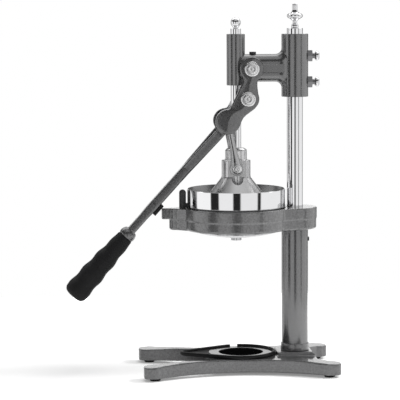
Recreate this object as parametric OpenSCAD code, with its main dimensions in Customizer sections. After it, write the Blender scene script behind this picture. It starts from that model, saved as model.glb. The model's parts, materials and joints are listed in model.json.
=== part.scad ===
// Lever citrus juice press: a column on a four-footed base carries a cup ring and a head.
// The lever swings on the head and draws a guided press bell up and down over a reamer.
// Millimetres. X runs from the guide axis to the column, Y to the back, Z up from the floor.

/* [Stand] */
// Distance from the guide axis to the column axis
column_x = 83; // [76:1:92]
// Half the distance between the front and the rear feet
foot_y = 71; // [66:1:80]
// Reach of the left feet from the guide axis
foot_left = 119.5; // [112:0.5:130]
// Reach of the right feet from the guide axis
foot_right = 122.5; // [116:0.5:132]
// Height of a foot that shows under its leg
foot_h = 3.5; // [3:0.5:5]
// Radius of a foot
foot_r = 7.5; // [6:0.5:8]
// Width of a leg at its end
leg_w = 29; // [26:1:34]
// Height of a leg at its end
leg_t = 15.5; // [14:0.5:18]
// Height of the raised middle of the base
mid_t = 18; // [17:0.5:21]
// Half the depth of the base at its waist
waist_y = 49.5; // [46:0.5:54]
// Radius of the base's curved front and rear edges
waist_bend = 210; // [180:5:240]

/* [Column] */
// Radius of the column rod
column_r = 11.2; // [10.5:0.1:12]
// Height of the top of the column rod
column_top = 481; // [478:1:488]
// Outer radius of the post tube
tube_r = 18.6; // [18:0.1:19.5]
// Wall of the post tube
tube_wall = 3; // [2:0.5:4]

/* [Cup ring] */
// Height of the top of the cup ring
ring_top = 230.5; // [228:0.5:234]
// Height of the cup ring's casting
ring_h = 30.5; // [28:0.5:34]
// Wall of the cup ring round the cup
ring_wall = 5.4; // [4.6:0.2:8]
// Radius of the ring's boss on the column
boss_r = 31; // [29:0.5:33]

/* [Cup] */
// Outer radius of the cup
cup_r = 68.8; // [66:0.2:69]
// Height of the cup's rim
cup_top = 257; // [252:0.5:262]
// Wall of the cup
cup_wall = 1.5; // [1.2:0.1:2]
// Radius of the outlet spout
spout_r = 7.3; // [6:0.1:9]
// Height of the spout's mouth
spout_z = 184.2; // [180:0.2:186]

/* [Head] */
// Height of the middle of the head's arm
arm_z = 425.6; // [420:0.5:430]
// Height of the head's arm
arm_h = 38.5; // [36:0.5:42]
// Depth of the head's arm
arm_d = 24; // [22:0.5:25]
// Height of the top of both sleeves
sleeve_top = 473; // [470:0.5:477]
// Outer radius of the guide sleeve
guide_sleeve_r = 12.8; // [12.4:0.1:13]
// Height of the bottom of the guide sleeve
guide_sleeve_bottom = 401.6; // [399:0.2:404]
// Outer radius of the column sleeve
column_sleeve_r = 18.7; // [18:0.1:19.5]
// Height of the bottom of the column sleeve
column_sleeve_bottom = 385.3; // [380:0.5:390]

/* [Lever] */
// Place of the fulcrum beside the guide axis
fulcrum_x = 20.2; // [19.6:0.2:21]
// Height of the fulcrum
fulcrum_z = 424.9; // [424:0.1:426]
// Place of the cheek bolt beside the guide axis
cheek_bolt_x = 14.9; // [14:0.1:15.6]
// Height of the cheek bolt
cheek_bolt_z = 383.2; // [382:0.1:384]
// Place of the upper link pivot beside the guide axis, to its left
link_top_x = 13; // [12.4:0.2:13.6]
// Height of the upper link pivot
link_top_z = 351.7; // [351:0.1:352.4]
// Depth of the bar, across the lever
bar_d = 17; // [14:0.5:19]
// Width of the bar, seen from the front
bar_w = 13.3; // [12.5:0.1:14.5]
// Slope of the bar below level, in degrees
bar_slope = 47.8; // [47:0.1:48.6]
// Length of the grip
grip_len = 111; // [102:1:118]
// Radius of the grip at its collar
grip_r = 11.4; // [11:0.1:12.5]
// Radius of the grip near its end
grip_end_r = 16.4; // [15.5:0.1:17]

/* [Press] */
// Radius of the guide rod
guide_r = 7.3; // [6.8:0.1:7.6]
// Height of the top of the guide rod
guide_top = 480.6; // [478:0.2:484]
// Radius of the ball knob
ball_r = 7.1; // [6.5:0.1:8]
// Height of the lower link pivot
link_foot_z = 285.8; // [285.2:0.1:286.4]
// Radius of the press body at the lower link pivot
press_r = 20.2; // [19.6:0.1:21]
// Room between the press bell's rim and the cup
bell_room = 7.8; // [6.6:0.2:12]
// Thickness of a link
link_t = 5.4; // [4.6:0.1:5.6]
// Radius of a link's lower eye
link_eye_r = 9.7; // [9:0.1:10]

/* [Fits] */
// Radial running clearance of a shaft in its hole
run_gap = 0.05; // [0.03:0.01:0.08]
// Gap between faces that move past each other
face_gap = 0.3; // [0.25:0.05:0.4]
// Room round the cup in its ring
cup_gap = 0.8; // [0.6:0.1:1]

/* [Hidden] */
$fn = 96;
over = 1;                               // how far a cutter runs past a face

// Base
base_z0 = foot_h + 0.5;                 // underside of the base
leg_top = base_z0 + leg_t;
mid_top = base_z0 + mid_t;
leg_tip = 15.5;                         // from a foot's centre to the leg's end
tip_round = 9;
leg_end_l = foot_left + leg_tip;
leg_end_r = foot_right + leg_tip;
leg_out = foot_y + leg_w/2;
leg_in = foot_y - leg_w/2;
waist_x = 0;                            // middle of the curved edges
gap_left = -38;                         // where the left legs part
gap_in = 45;                            // half the gap there
pad_hx = 27;                            // half length of the column pad
pad_hy = 22;
pad_rise = 4.5;
pad_top = mid_top + pad_rise;
pad_chamfer = 5;
foot_bolt_r = 2.5;
foot_bolt_len = 7;
foot_head_r = 4.5;
foot_head_t = 1.6;
collar_h = 10.5;
collar_wall = 1.3;
nut_t = 6;
washer_under_t = 2;
nut_pocket_z = base_z0 + nut_t + washer_under_t + 1.5;
nut_pocket_r = 16;
stud_r = 8;                             // thinned lower end of the column rod
set_screw_r = 3;
set_screw_z = 184.4;

// Tray
tray_r = 49;
tray_x = 6;
tray_tail_x = -68;
tray_tail_r = 12;
tray_rim_h = 5.5;
tray_rim_t = 4;
tray_floor_t = 3;
tray_well_r = 31;
tray_well_t = 1.2;
tray_notch = 11;

// Cup ring, cup, strainer and reamer
ring_bore_r = cup_r + cup_gap;
ring_r = ring_bore_r + ring_wall;
ring_z0 = ring_top - ring_h;
ring_ledge_t = 4;
ledge_w = 8;                            // width of the ledge that carries the cup
lip_r = cup_r - ledge_w;
ring_step = 0.8;                        // the ring's lower band is drawn in by this
ring_foot = 2;                          // height of the lowest edge
ring_step_z = ring_z0 + ring_h/2;
nose_w = 12;
nose_h = 15.2;
lug_reach = 11;
lug_x = ring_r + lug_reach;
lug_r = 9;
cup_z0 = ring_z0 + ring_ledge_t + face_gap;
cone_top_z = ring_z0 - 3;
cone_foot_z = spout_z + 4.6;
strainer_t = 1.2;
strainer_z = cup_z0 + 5*strainer_t;
strainer_r = cup_r - cup_wall - 0.4;
stub_r = 8;                             // the reamer's stub through the strainer
reamer_room = 28.8;                     // from the reamer's foot to the cup's outside
reamer_r = cup_r - reamer_room;
reamer_h = 35;
flute_r = 6;
flute_count = 12;
hole_r = 1.5;
peg_r = 4.8;
peg_gap = 1;
peg_x = -(cup_r + cup_gap + peg_gap + peg_r);
peg_room = 7.6;                         // from the peg's top to the bar above it
peg_lug_w = 5;
peg_lug_h = 6.5;

// Head
bush_h = 16;
bush_wall = 2.4;
guide_bore_r = guide_r + 1.2;
arm_round = 9;                          // fillet of the arm on the column sleeve
clamp_r = 3.9;
clamp_out = 18.2;                       // clamp screws above and below the arm's middle
clamp_z = [arm_z + clamp_out - 1.6, arm_z - clamp_out - 1.6];
clamp_seat = 1.2;                       // depth of the flat under a lock nut
clamp_nut_t = 6.6;
clamp_nut_r = 8.9;                      // across the corners, half
clamp_head_r = 6.6;
clamp_head_t = 6.6;
clamp_face = column_x + column_sleeve_r - clamp_seat;
fulcrum_r = 5;
fulcrum_bush_r = 7;
side_boss_r = 12.5;
washer_t = 1;
washer_r = 11;
arm_screw_r = 2.5;
arm_screw_x = fulcrum_x + 3.5;
arm_screw_head_r = 4.7;
arm_screw_head_t = 3.2;
finial_r = 11.2;
finial_h = 34.2;
finial_stud_r = 3;
finial_stud = 10;

// Lever fork, from the inside out
fork_in = max(guide_sleeve_r + 0.5, arm_d/2 + washer_t + face_gap);  // inner face of the retainers
retainer_t = 2;
cheek_in = fork_in + retainer_t;        // inner face of the cheeks
link_in = cheek_in + face_gap;          // inner face of the links
link_out = link_in + link_t;
pocket_out = link_out + face_gap;       // floor of the link pocket
cheek_skin = 3.7;
cheek_out = pocket_out + cheek_skin;
crown = 2.2;                            // width of the bevel round a cheek
boss_a = 16.7;
boss_b = 15.9;
boss_c = 17.4;
bolt_head_r = 10.5;
bolt_head_t = 2.6;
bolt_ring_r = 5.8;
bolt_ring_t = 1.3;
socket_r = 2.6;
nut_r = 8.6;
fulcrum_nut_t = 6;
cheek_bolt_r = 4;
A = [fulcrum_x, fulcrum_z];
B = [cheek_bolt_x, cheek_bolt_z];
C = [-link_top_x, link_top_z];
D = [0, link_foot_z];
across = [sin(bar_slope), -cos(bar_slope)];        // towards the bar's underside
bar_drop = 2.4;
bar_axis = C + bar_drop*across;                    // a point on the bar's centre line
crotch_s = 88;                                     // from the link pivot down to the fork's end
taper_s = 20;
fork_inset = 0.5;                                  // the fork's arms start inside the cheeks by this
collar_s = 206;                                    // to the start of the collar
collar_len = 9;
grip_s = collar_s + collar_len;
tang_r = 6.5;
grip_cap = 17;                                     // solid end of the grip past the tang
tang_len = grip_len - grip_cap;
bumper_s = 147.5;                                  // to the bumper's upper end
bumper_len = 17.7;
bumper_t = 4.2;
// The ring's nose ends where the bumper stops a hair above it.
nose_left = bar_axis[0] + (bar_w/2 + bumper_t + face_gap - across[1]*(ring_top - bar_axis[1]))/across[0];
// Height of the bar's underside at a place beside the guide axis.
function bar_under(x) = bar_axis[1] + across[1]*bar_w/2
    + (x - bar_axis[0] - across[0]*bar_w/2)*tan(bar_slope);
peg_h = bar_under(peg_x - peg_r) - peg_room - ring_top - face_gap;
pin_s = 153;
pin_n = 2.1;
pin_r = 2;

// Press
bell_r = cup_r - bell_room;
rod_z0 = link_foot_z + 9;
neck_r = 4;
neck_h = 1.1;
ball_z = guide_top + neck_h + ball_r;
ball_stud_r = 2.5;
ball_stud = 8;
hub_r = 15.2;
hub_rise = 28.5;
hub_top = link_foot_z + hub_rise;
body_top = link_foot_z + 11.7;
cone_z = link_foot_z - 12.3;                       // top of the bell's cone
bell_z = strainer_z + strainer_t + 4.5;            // rim of the bell
bell_lip = 4;
bell_wall = 5;
cave_h = 41;                                       // height of the hollow in the bell
edge = 0.8;                                        // small bevels of turned edges
press_flat = link_in - face_gap;
link_bolt_r = 4;
link_bolt_deep = 9;
link_head_r = 6.6;
scoop_r = 8;
scoop_deep = 10.1;
link_pin_r = 3.5;
link_top_r = 7.6;
wander = 6.8;                                      // room of the opened pivot
pocket_r = link_top_r + wander + 0.8;
link_fall = atan2(D[1] - C[1], D[0] - C[0]);       // directions from the upper pivot, in degrees
link_least = -35;
room_most = 6;
room_back = 12;
room_end = 96;

// Radius of the grip at a fraction of its length, with its finger waves.
function grip_wave(t) = grip_r + (grip_end_r - grip_r)*sin(min(1, t*1.15)*90)
    + grip_r*0.07*sin(t*4*360 - 90)*min(1, 4*t);
grip_side = concat([[0, 0], [grip_r*0.95, 0]],
    [for (i = [1 : 30]) [grip_wave(i/32), grip_len*i/32]],
    [[grip_end_r*0.94, grip_len*0.965], [grip_end_r*0.78, grip_len*0.99],
     [grip_end_r*0.57, grip_len], [0, grip_len]]);
// The frame's origin is on the floor, in the middle of the whole outline.
left_end = min([for (p = grip_side) bar_axis[0] - (grip_s + p[1])*cos(bar_slope) - p[0]*sin(bar_slope)]);
guide_x = -(left_end + leg_end_r)/2;

// ---- helpers ----

// A solid drawn in X and Z, reaching from y0 to y1.
module slab(y0, y1) {
    translate([0, y1, 0]) rotate([90, 0, 0]) linear_extrude(y1 - y0) children();
}
// A cylinder along Y at a point in X and Z.
module ycyl(p, r, y0, y1, f = 96) {
    translate([p[0], y1, p[1]]) rotate([90, 0, 0]) cylinder(r = r, h = y1 - y0, $fn = f);
}
// A cylinder along X.
module xcyl(r, x0, x1, z, f = 96) {
    translate([x0, 0, z]) rotate([0, 90, 0]) cylinder(r = r, h = x1 - x0, $fn = f);
}
// From the guide axis to the frame's origin.
module in_place() {
    translate([guide_x, 0, 0]) children();
}
module at_feet() {
    for (x = [-foot_left, foot_right], y = [-foot_y, foot_y]) translate([x, y, 0]) children();
}
// The same piece in front and behind.
module both_sides() {
    children();
    mirror([0, 1, 0]) children();
}
// A turned piece round the column, from radius and height pairs.
module on_column() {
    translate([column_x, 0, 0]) children();
}

// ---- stand ----

// What is cut off to round a leg's corner at p, towards the signs in k.
module corner_off(p, k) {
    translate([p[0] - k[0]*tip_round, p[1] - k[1]*tip_round, -over]) difference() {
        translate([k[0] > 0 ? 0 : -tip_round - over, k[1] > 0 ? 0 : -tip_round - over, 0])
            cube([tip_round + over, tip_round + over, mid_top + 3*over]);
        translate([0, 0, -over]) cylinder(r = tip_round, h = mid_top + 5*over);
    }
}
module base_blank() {
    rise = (leg_end_l + gap_left)*0.55;
    slab(-leg_out, leg_out) polygon([[-leg_end_l, base_z0], [leg_end_r, base_z0], [leg_end_r, leg_top],
        [leg_end_r - rise*0.5, leg_top + (mid_top - leg_top)*0.4], [leg_end_r - rise, mid_top],
        [-leg_end_l + rise, mid_top], [-leg_end_l + rise*0.5, leg_top + (mid_top - leg_top)*0.4],
        [-leg_end_l, leg_top]]);
}
module base_casting() color([0.36, 0.36, 0.37]) in_place() difference() {
    union() {
        difference() {
            base_blank();
            both_sides() translate([waist_x, waist_y + waist_bend, 0]) cylinder(r = waist_bend, h = mid_top + over, $fn = 180);
            // the gap between the left legs
            linear_extrude(mid_top + over) polygon([[gap_left, -gap_in], [gap_left - leg_w, -gap_in - 1.5],
                [-foot_left, -leg_in], [-leg_end_l - over, -leg_in - 2], [-leg_end_l - over, leg_in + 2],
                [-foot_left, leg_in], [gap_left - leg_w, gap_in + 1.5], [gap_left, gap_in]]);
            // the gap between the right legs
            linear_extrude(mid_top + over) polygon([[column_x + pad_hx, -gap_in], [foot_right, -leg_in],
                [leg_end_r + over, -leg_in - 2], [leg_end_r + over, leg_in + 2], [foot_right, leg_in],
                [column_x + pad_hx, gap_in]]);
        }
        slab(-pad_hy, pad_hy) polygon([[column_x - pad_hx, base_z0 + over], [column_x + pad_hx, base_z0 + over],
            [column_x + pad_hx, pad_top - pad_chamfer], [column_x + pad_hx - pad_chamfer, pad_top],
            [column_x - pad_hx, pad_top]]);
    }
    for (side = [-1, 1]) {
        corner_off([-leg_end_l, side*leg_out], [-1, side]);
        corner_off([leg_end_r, side*leg_out], [1, side]);
        corner_off([-leg_end_l, side*(leg_in + 2)], [-1, -side]);
        corner_off([leg_end_r, side*(leg_in + 2)], [1, -side]);
    }
    on_column() translate([0, 0, base_z0 - over]) cylinder(r = stud_r + run_gap, h = pad_top);
    on_column() translate([0, 0, base_z0 - over]) cylinder(r = nut_pocket_r, h = nut_pocket_z - base_z0 + over);
    at_feet() translate([0, 0, base_z0 - over]) cylinder(r = foot_bolt_r + run_gap, h = foot_bolt_len + 2*over);
}
module rubber_feet() color([0.06, 0.06, 0.06]) in_place() at_feet() difference() {
    rotate_extrude() polygon([[0, 0], [foot_r - edge, 0], [foot_r, edge], [foot_r, base_z0], [0, base_z0]]);
    translate([0, 0, over]) cylinder(r = foot_head_r + run_gap, h = foot_h);
    translate([0, 0, -over]) cylinder(r = foot_bolt_r + run_gap, h = foot_h);
}
module foot_screws() color([0.7, 0.7, 0.7]) in_place() at_feet() {
    translate([0, 0, over]) cylinder(r = foot_head_r, h = foot_head_t);
    translate([0, 0, over + foot_head_t/2]) cylinder(r = foot_bolt_r, h = foot_bolt_len);
}
module tray_prism(r, tail_r, z0, z1) {
    d = tray_x - tray_tail_x;
    k = asin((r - tail_r)/d);
    translate([tray_x, 0, z0]) cylinder(r = r, h = z1 - z0);
    translate([tray_tail_x, 0, z0]) cylinder(r = tail_r, h = z1 - z0);
    translate([0, 0, z0]) linear_extrude(z1 - z0)
        polygon([[tray_x - r*sin(k), r*cos(k)], [tray_tail_x - tail_r*sin(k), tail_r*cos(k)],
                 [tray_tail_x - tail_r*sin(k), -tail_r*cos(k)], [tray_x - r*sin(k), -r*cos(k)]]);
}
module drip_tray() color([0.07, 0.07, 0.07]) in_place() translate([0, 0, mid_top]) difference() {
    tray_prism(tray_r, tray_tail_r, 0, tray_rim_h);
    tray_prism(tray_r - tray_rim_t, tray_tail_r - tray_rim_t, tray_floor_t, tray_rim_h + over);
    translate([tray_x, 0, tray_well_t]) cylinder(r = tray_well_r, h = tray_rim_h);
    translate([-tray_notch/2, tray_r - 3*tray_rim_t, tray_floor_t]) cube([tray_notch, 5*tray_rim_t, tray_rim_h]);
}
module post_tube() color([0.42, 0.42, 0.43]) in_place() on_column() difference() {
    translate([0, 0, pad_top]) cylinder(r = tube_r, h = ring_z0 - pad_top);
    translate([0, 0, pad_top - over]) cylinder(r = tube_r - tube_wall, h = ring_z0);
    translate([0, 0, set_screw_z]) rotate([0, 90, 0]) cylinder(r = set_screw_r + run_gap, h = tube_r + over);
}
module post_collar() color([0.42, 0.42, 0.43]) in_place() on_column() translate([0, 0, pad_top]) difference() {
    rotate_extrude() polygon([[0, 0], [tube_r + collar_wall, 0], [tube_r + collar_wall, collar_h - edge],
                              [tube_r + collar_wall - edge, collar_h], [0, collar_h]]);
    translate([0, 0, -over]) cylinder(r = tube_r + run_gap, h = collar_h + 2*over);
}
module column_rod() color([0.8, 0.8, 0.8]) in_place() on_column() difference() {
    rotate_extrude() polygon([[0, base_z0 + over], [stud_r, base_z0 + over], [stud_r, pad_top], [column_r, pad_top],
                              [column_r, column_top - edge], [column_r - edge, column_top], [0, column_top]]);
    translate([0, 0, column_top - finial_stud - over]) cylinder(r = finial_stud_r + run_gap, h = finial_stud + 2*over);
}
module column_washer() color([0.6, 0.6, 0.6]) in_place() on_column() translate([0, 0, nut_pocket_z - washer_under_t]) difference() {
    cylinder(r = nut_pocket_r - 2, h = washer_under_t);
    translate([0, 0, -over]) cylinder(r = stud_r + run_gap, h = washer_under_t + 2*over);
}
module column_nut() color([0.6, 0.6, 0.6]) in_place() on_column() translate([0, 0, nut_pocket_z - washer_under_t - nut_t]) difference() {
    cylinder(r = nut_pocket_r - 3, h = nut_t, $fn = 6);
    translate([0, 0, -over]) cylinder(r = stud_r + run_gap, h = nut_t + 2*over);
}
module post_set_screw() color([0.2, 0.2, 0.2]) in_place() difference() {
    xcyl(set_screw_r, column_x + column_r + run_gap, column_x + tube_r + set_screw_r/2, set_screw_z);
    xcyl(set_screw_r/2, column_x + tube_r - over, column_x + tube_r + set_screw_r, set_screw_z, 6);
}

// ---- cup ring and cup ----

// The ring's outline seen from above, drawn in by d.
module ring_prism(d, z0, z1) {
    lug_w = lug_r - d;
    translate([0, 0, z0]) cylinder(r = ring_r - d, h = z1 - z0, $fn = 180);
    on_column() translate([0, 0, z0]) cylinder(r = boss_r - d, h = z1 - z0);
    translate([-lug_x, 0, z0]) cylinder(r = lug_w, h = z1 - z0);
    translate([0, 0, z0]) linear_extrude(z1 - z0) polygon([[ring_r*0.5, -ring_r*0.7 + d], [column_x, -boss_r + d],
        [column_x, boss_r - d], [ring_r*0.5, ring_r*0.7 - d]]);
    translate([0, 0, z0]) linear_extrude(z1 - z0) polygon([
        [-lug_x, lug_w*0.96], [-ring_r*0.8, ring_r*0.42 - d], [-ring_r*0.5, 0],
        [-ring_r*0.8, -ring_r*0.42 + d], [-lug_x, -lug_w*0.96]]);
}
module cup_ring() color([0.38, 0.38, 0.39]) in_place() difference() {
    union() {
        ring_prism(0, ring_step_z, ring_top);
        ring_prism(ring_step, ring_z0 + ring_foot, ring_step_z + over);
        ring_prism(2.5*ring_step, ring_z0, ring_z0 + 2*ring_foot);
        translate([nose_left, -nose_w/2, ring_top - nose_h]) cube([-nose_left - ring_r - over, nose_w, nose_h - 0.02]);
    }
    translate([0, 0, ring_z0 + ring_ledge_t]) cylinder(r = ring_bore_r, h = ring_h, $fn = 180);
    translate([0, 0, ring_z0 - over]) cylinder(r = lip_r, h = ring_h, $fn = 180);
    on_column() translate([0, 0, ring_z0 - over]) cylinder(r = column_r + run_gap, h = ring_h + 2*over);
}
module funnel() color([0.85, 0.85, 0.85]) in_place() rotate_extrude($fn = 180) polygon([
    [cup_r, cup_z0], [cup_r, cup_top - cup_wall/2], [cup_r - cup_wall/2, cup_top],
    [cup_r - cup_wall, cup_top - cup_wall/3], [cup_r - cup_wall, cup_z0 + cup_wall],
    [lip_r - face_gap - cup_wall, cup_z0 + cup_wall], [lip_r - face_gap - cup_wall, cone_top_z + cup_wall],
    [spout_r - cup_wall, cone_foot_z + cup_wall], [spout_r - cup_wall, spout_z], [spout_r, spout_z],
    [spout_r, cone_foot_z], [lip_r - face_gap, cone_top_z], [lip_r - face_gap, cup_z0]]);
module strainer() color([0.75, 0.75, 0.75]) in_place() difference() {
    // a plate on a short skirt that stands on the cup's shoulder
    rotate_extrude($fn = 180) polygon([[stub_r, strainer_z], [strainer_r - strainer_t, strainer_z],
        [strainer_r - strainer_t, cup_z0 + cup_wall], [strainer_r, cup_z0 + cup_wall],
        [strainer_r, strainer_z + strainer_t - edge/2], [strainer_r - edge/2, strainer_z + strainer_t],
        [stub_r, strainer_z + strainer_t]]);
    for (row = [0 : 1], i = [0 : 29 + 6*row]) rotate(i*360/(30 + 6*row))
        translate([reamer_r + 2.6*hole_r + row*4.4*hole_r, 0, strainer_z - over])
            cylinder(r = hole_r, h = strainer_t + 2*over, $fn = 16);
}
module reamer() color([0.78, 0.78, 0.78]) in_place() {
    translate([0, 0, strainer_z + strainer_t]) difference() {
        rotate_extrude() polygon([[0, 0], [reamer_r, 0], [reamer_r*0.98, reamer_h*0.07],
            [reamer_r*0.76, reamer_h*0.37], [reamer_r*0.49, reamer_h*0.68], [reamer_r*0.24, reamer_h*0.92],
            [reamer_r*0.11, reamer_h*0.98], [0, reamer_h]]);
        for (i = [0 : flute_count - 1]) rotate(i*360/flute_count)
            translate([reamer_r + flute_r*0.6, 0, flute_r]) rotate([0, -44, 0])
                translate([0, 0, -3*flute_r]) cylinder(r = flute_r, h = 12*flute_r, $fn = 24);
    }
    translate([0, 0, strainer_z - 2.5*strainer_t]) cylinder(r = stub_r - run_gap, h = 4*strainer_t);
}
module cup_peg() color([0.2, 0.2, 0.21]) in_place() {
    translate([peg_x, 0, ring_top + face_gap]) cylinder(r = peg_r, h = peg_h - peg_r);
    translate([peg_x, 0, ring_top + face_gap + peg_h - peg_r]) intersection() {
        sphere(r = peg_r);
        translate([-peg_r, -peg_r, -over]) cube([2*peg_r, 2*peg_r, peg_r + 2*over]);
    }
    difference() {
        translate([peg_x, -peg_lug_w/2, ring_top + face_gap]) cube([-peg_x - cup_r + peg_r, peg_lug_w, peg_lug_h]);
        cylinder(r = cup_r, h = cup_top, $fn = 180);
    }
}

// ---- head ----

// An upright oval across the arm: two round edges joined by flat sides.
module arm() {
    r = arm_d/2;
    translate([0, 0, arm_h/2 - r]) rotate([0, 90, 0]) cylinder(r = r, h = column_x);
    translate([0, 0, -arm_h/2 + r]) rotate([0, 90, 0]) cylinder(r = r, h = column_x);
    translate([0, -r, -arm_h/2 + r]) cube([column_x, arm_d, arm_h - arm_d]);
}
// The fillets above and below the arm, drawn in X and Z.
module arm_fillets() {
    x1 = column_x - column_sleeve_r;
    difference() {
        translate([x1 - arm_round, arm_z - arm_h/2 - arm_round]) square([1.6*arm_round, arm_h + 2*arm_round]);
        for (k = [-1, 1]) translate([x1 - arm_round, arm_z + k*(arm_h/2 + arm_round)]) circle(r = arm_round);
    }
}
module head_casting() color([0.4, 0.4, 0.41]) in_place() difference() {
    union() {
        translate([0, 0, guide_sleeve_bottom]) cylinder(r = guide_sleeve_r, h = sleeve_top - guide_sleeve_bottom);
        on_column() translate([0, 0, column_sleeve_bottom])
            cylinder(r = column_sleeve_r, h = sleeve_top - column_sleeve_bottom);
        translate([0, 0, arm_z]) arm();
        slab(-arm_d/3, arm_d/3) arm_fillets();
        ycyl(A, side_boss_r, -arm_d/2, arm_d/2);
    }
    translate([0, 0, guide_sleeve_bottom - arm_h]) cylinder(r = guide_bore_r, h = sleeve_top - guide_sleeve_bottom + 2*arm_h);
    translate([0, 0, guide_sleeve_bottom - over]) cylinder(r = guide_r + run_gap + bush_wall, h = bush_h + over);
    translate([0, 0, sleeve_top - bush_h]) cylinder(r = guide_r + run_gap + bush_wall, h = bush_h + over);
    on_column() translate([0, 0, column_sleeve_bottom - arm_h])
        cylinder(r = column_r + run_gap, h = sleeve_top - column_sleeve_bottom + 2*arm_h);
    for (z = clamp_z) {
        xcyl(clamp_r + run_gap, column_x, column_x + column_sleeve_r + over, z);
        translate([clamp_face, -1.4*clamp_nut_r, z - 1.4*clamp_nut_r]) cube([2*clamp_seat, 2.8*clamp_nut_r, 2.8*clamp_nut_r]);
    }
    ycyl(A, fulcrum_bush_r, -arm_d/2 - over, arm_d/2 + over);
    translate([arm_screw_x, 0, fulcrum_z]) cylinder(r = arm_screw_r + run_gap, h = arm_h);
}
module guide_bush(z) translate([0, 0, z]) difference() {
    cylinder(r = guide_r + run_gap + bush_wall, h = bush_h);
    translate([0, 0, -over]) cylinder(r = guide_r + run_gap, h = bush_h + 2*over);
}
module guide_bush_upper() color([0.72, 0.55, 0.25]) in_place() guide_bush(sleeve_top - bush_h);
module guide_bush_lower() color([0.72, 0.55, 0.25]) in_place() guide_bush(guide_sleeve_bottom);
module clamp_screw(z) {
    neck = clamp_face + clamp_nut_t + 0.6*clamp_head_t;
    xcyl(clamp_r, column_x + column_r + run_gap, neck, z);
    translate([neck, 0, z]) rotate([0, 90, 0]) rotate_extrude()
        polygon([[0, -over], [0.92*clamp_head_r, -over], [clamp_head_r, 0], [clamp_head_r, 0.4*clamp_head_t],
                 [0.85*clamp_head_r, 0.7*clamp_head_t], [0.6*clamp_head_r, 0.9*clamp_head_t], [0, clamp_head_t]]);
}
module clamp_screw_upper() color([0.82, 0.82, 0.82]) in_place() clamp_screw(clamp_z[0]);
module clamp_screw_lower() color([0.82, 0.82, 0.82]) in_place() clamp_screw(clamp_z[1]);
module clamp_lock_nuts() color([0.25, 0.25, 0.26]) in_place() for (z = clamp_z) difference() {
    translate([clamp_face, 0, z]) rotate([0, 90, 0]) rotate(30) cylinder(r = clamp_nut_r, h = clamp_nut_t, $fn = 6);
    xcyl(clamp_r + run_gap, clamp_face - over, clamp_face + clamp_nut_t + over, z);
}
module finial() color([0.85, 0.85, 0.85]) in_place() on_column() translate([0, 0, column_top]) {
    r = finial_r;
    h = finial_h;
    rotate_extrude() polygon([[0, 0], [r*0.455, 0], [r*0.455, h*0.1], [r*0.4, h*0.146], [r*0.286, h*0.18],
        [r*0.268, h*0.25], [r*0.348, h*0.304], [r*0.58, h*0.38], [r*0.93, h*0.45], [r, h*0.48], [r, h*0.526],
        [r*0.91, h*0.556], [r*0.464, h*0.59], [r*0.41, h*0.626], [r*0.41, h*0.684], [r*0.344, h*0.72],
        [r*0.344, h*0.936], [r*0.268, h*0.982], [0, h]]);
    translate([0, 0, -finial_stud]) cylinder(r = finial_stud_r, h = finial_stud + over);
}
module arm_screw() color([0.2, 0.2, 0.2]) in_place() translate([arm_screw_x, 0, 0]) {
    translate([0, 0, arm_z + arm_h/2]) cylinder(r = arm_screw_head_r, h = arm_screw_head_t);
    translate([0, 0, fulcrum_z + fulcrum_bush_r]) cylinder(r = arm_screw_r, h = arm_z - fulcrum_z + arm_h/2 - fulcrum_bush_r + over);
}
module fulcrum_bush() color([0.72, 0.55, 0.25]) in_place() difference() {
    ycyl(A, fulcrum_bush_r, -arm_d/2, arm_d/2);
    ycyl(A, fulcrum_r + run_gap, -arm_d, arm_d);
}
module fulcrum_washers() color([0.7, 0.7, 0.7]) in_place() both_sides() difference() {
    ycyl(A, washer_r, arm_d/2, arm_d/2 + washer_t);
    ycyl(A, fulcrum_r + run_gap, arm_d/2 - over, arm_d/2 + washer_t + over);
}

// ---- lever ----

// A round flanged cap with a raised, socketed centre, on the front cheek.
module bolt_head(p) {
    ycyl(p, bolt_head_r, -cheek_out - bolt_head_t, -cheek_out);
    difference() {
        ycyl(p, bolt_ring_r, -cheek_out - bolt_head_t - bolt_ring_t, -cheek_out - bolt_head_t/2);
        ycyl(p, socket_r, -cheek_out - bolt_head_t - bolt_ring_t - over, -cheek_out - bolt_head_t, 6);
    }
}
module fulcrum_bolt() color([0.75, 0.75, 0.75]) in_place() {
    bolt_head(A);
    ycyl(A, fulcrum_r, -cheek_out - bolt_head_t/2, cheek_out + fulcrum_nut_t);
}
module fulcrum_nut() color([0.75, 0.75, 0.75]) in_place() difference() {
    union() {
        ycyl(A, bolt_head_r, cheek_out, cheek_out + bolt_head_t);
        ycyl(A, nut_r, cheek_out, cheek_out + fulcrum_nut_t, 6);
    }
    ycyl(A, fulcrum_r + run_gap, cheek_out - over, cheek_out + fulcrum_nut_t + over);
}
module cheek_bolts() color([0.75, 0.75, 0.75]) in_place() both_sides() {
    bolt_head(B);
    ycyl(B, cheek_bolt_r, -cheek_out - bolt_head_t/2, -fork_in);
}
// One cheek, drawn in by d, reaching from y0 to y1.
module cheek(d, y0, y1) {
    ycyl(A, boss_a - d, y0, y1);
    ycyl(B, boss_b - d, y0, y1);
    ycyl(C, boss_c - d, y0, y1);
    difference() {
        slab(y0, y1) polygon([A + boss_a*[-0.7, -0.66] + [d, 0], A + boss_a*[0.47, -0.78],
            A + boss_a*[0.47, -1.75] - [d, 0], B + [boss_b - d, 0], B + boss_b*[0.5, -0.8] + [0, d],
            C + boss_c*[1.38, 0.37], C + [boss_c - d, 0], C + boss_c*[0, -0.28], C + boss_c*[-0.46, 0.69],
            C + boss_c*[0.09, 1.06] + [d, -d], C + boss_c*[0.8, 2.4] + [d, 0], C + boss_c*[1.26, 3.35] + [d, 0]]);
        ycyl(C + boss_c*[1.7, -0.52], boss_c*0.83 + d, y0 - over, y1 + over);
    }
}
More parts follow.
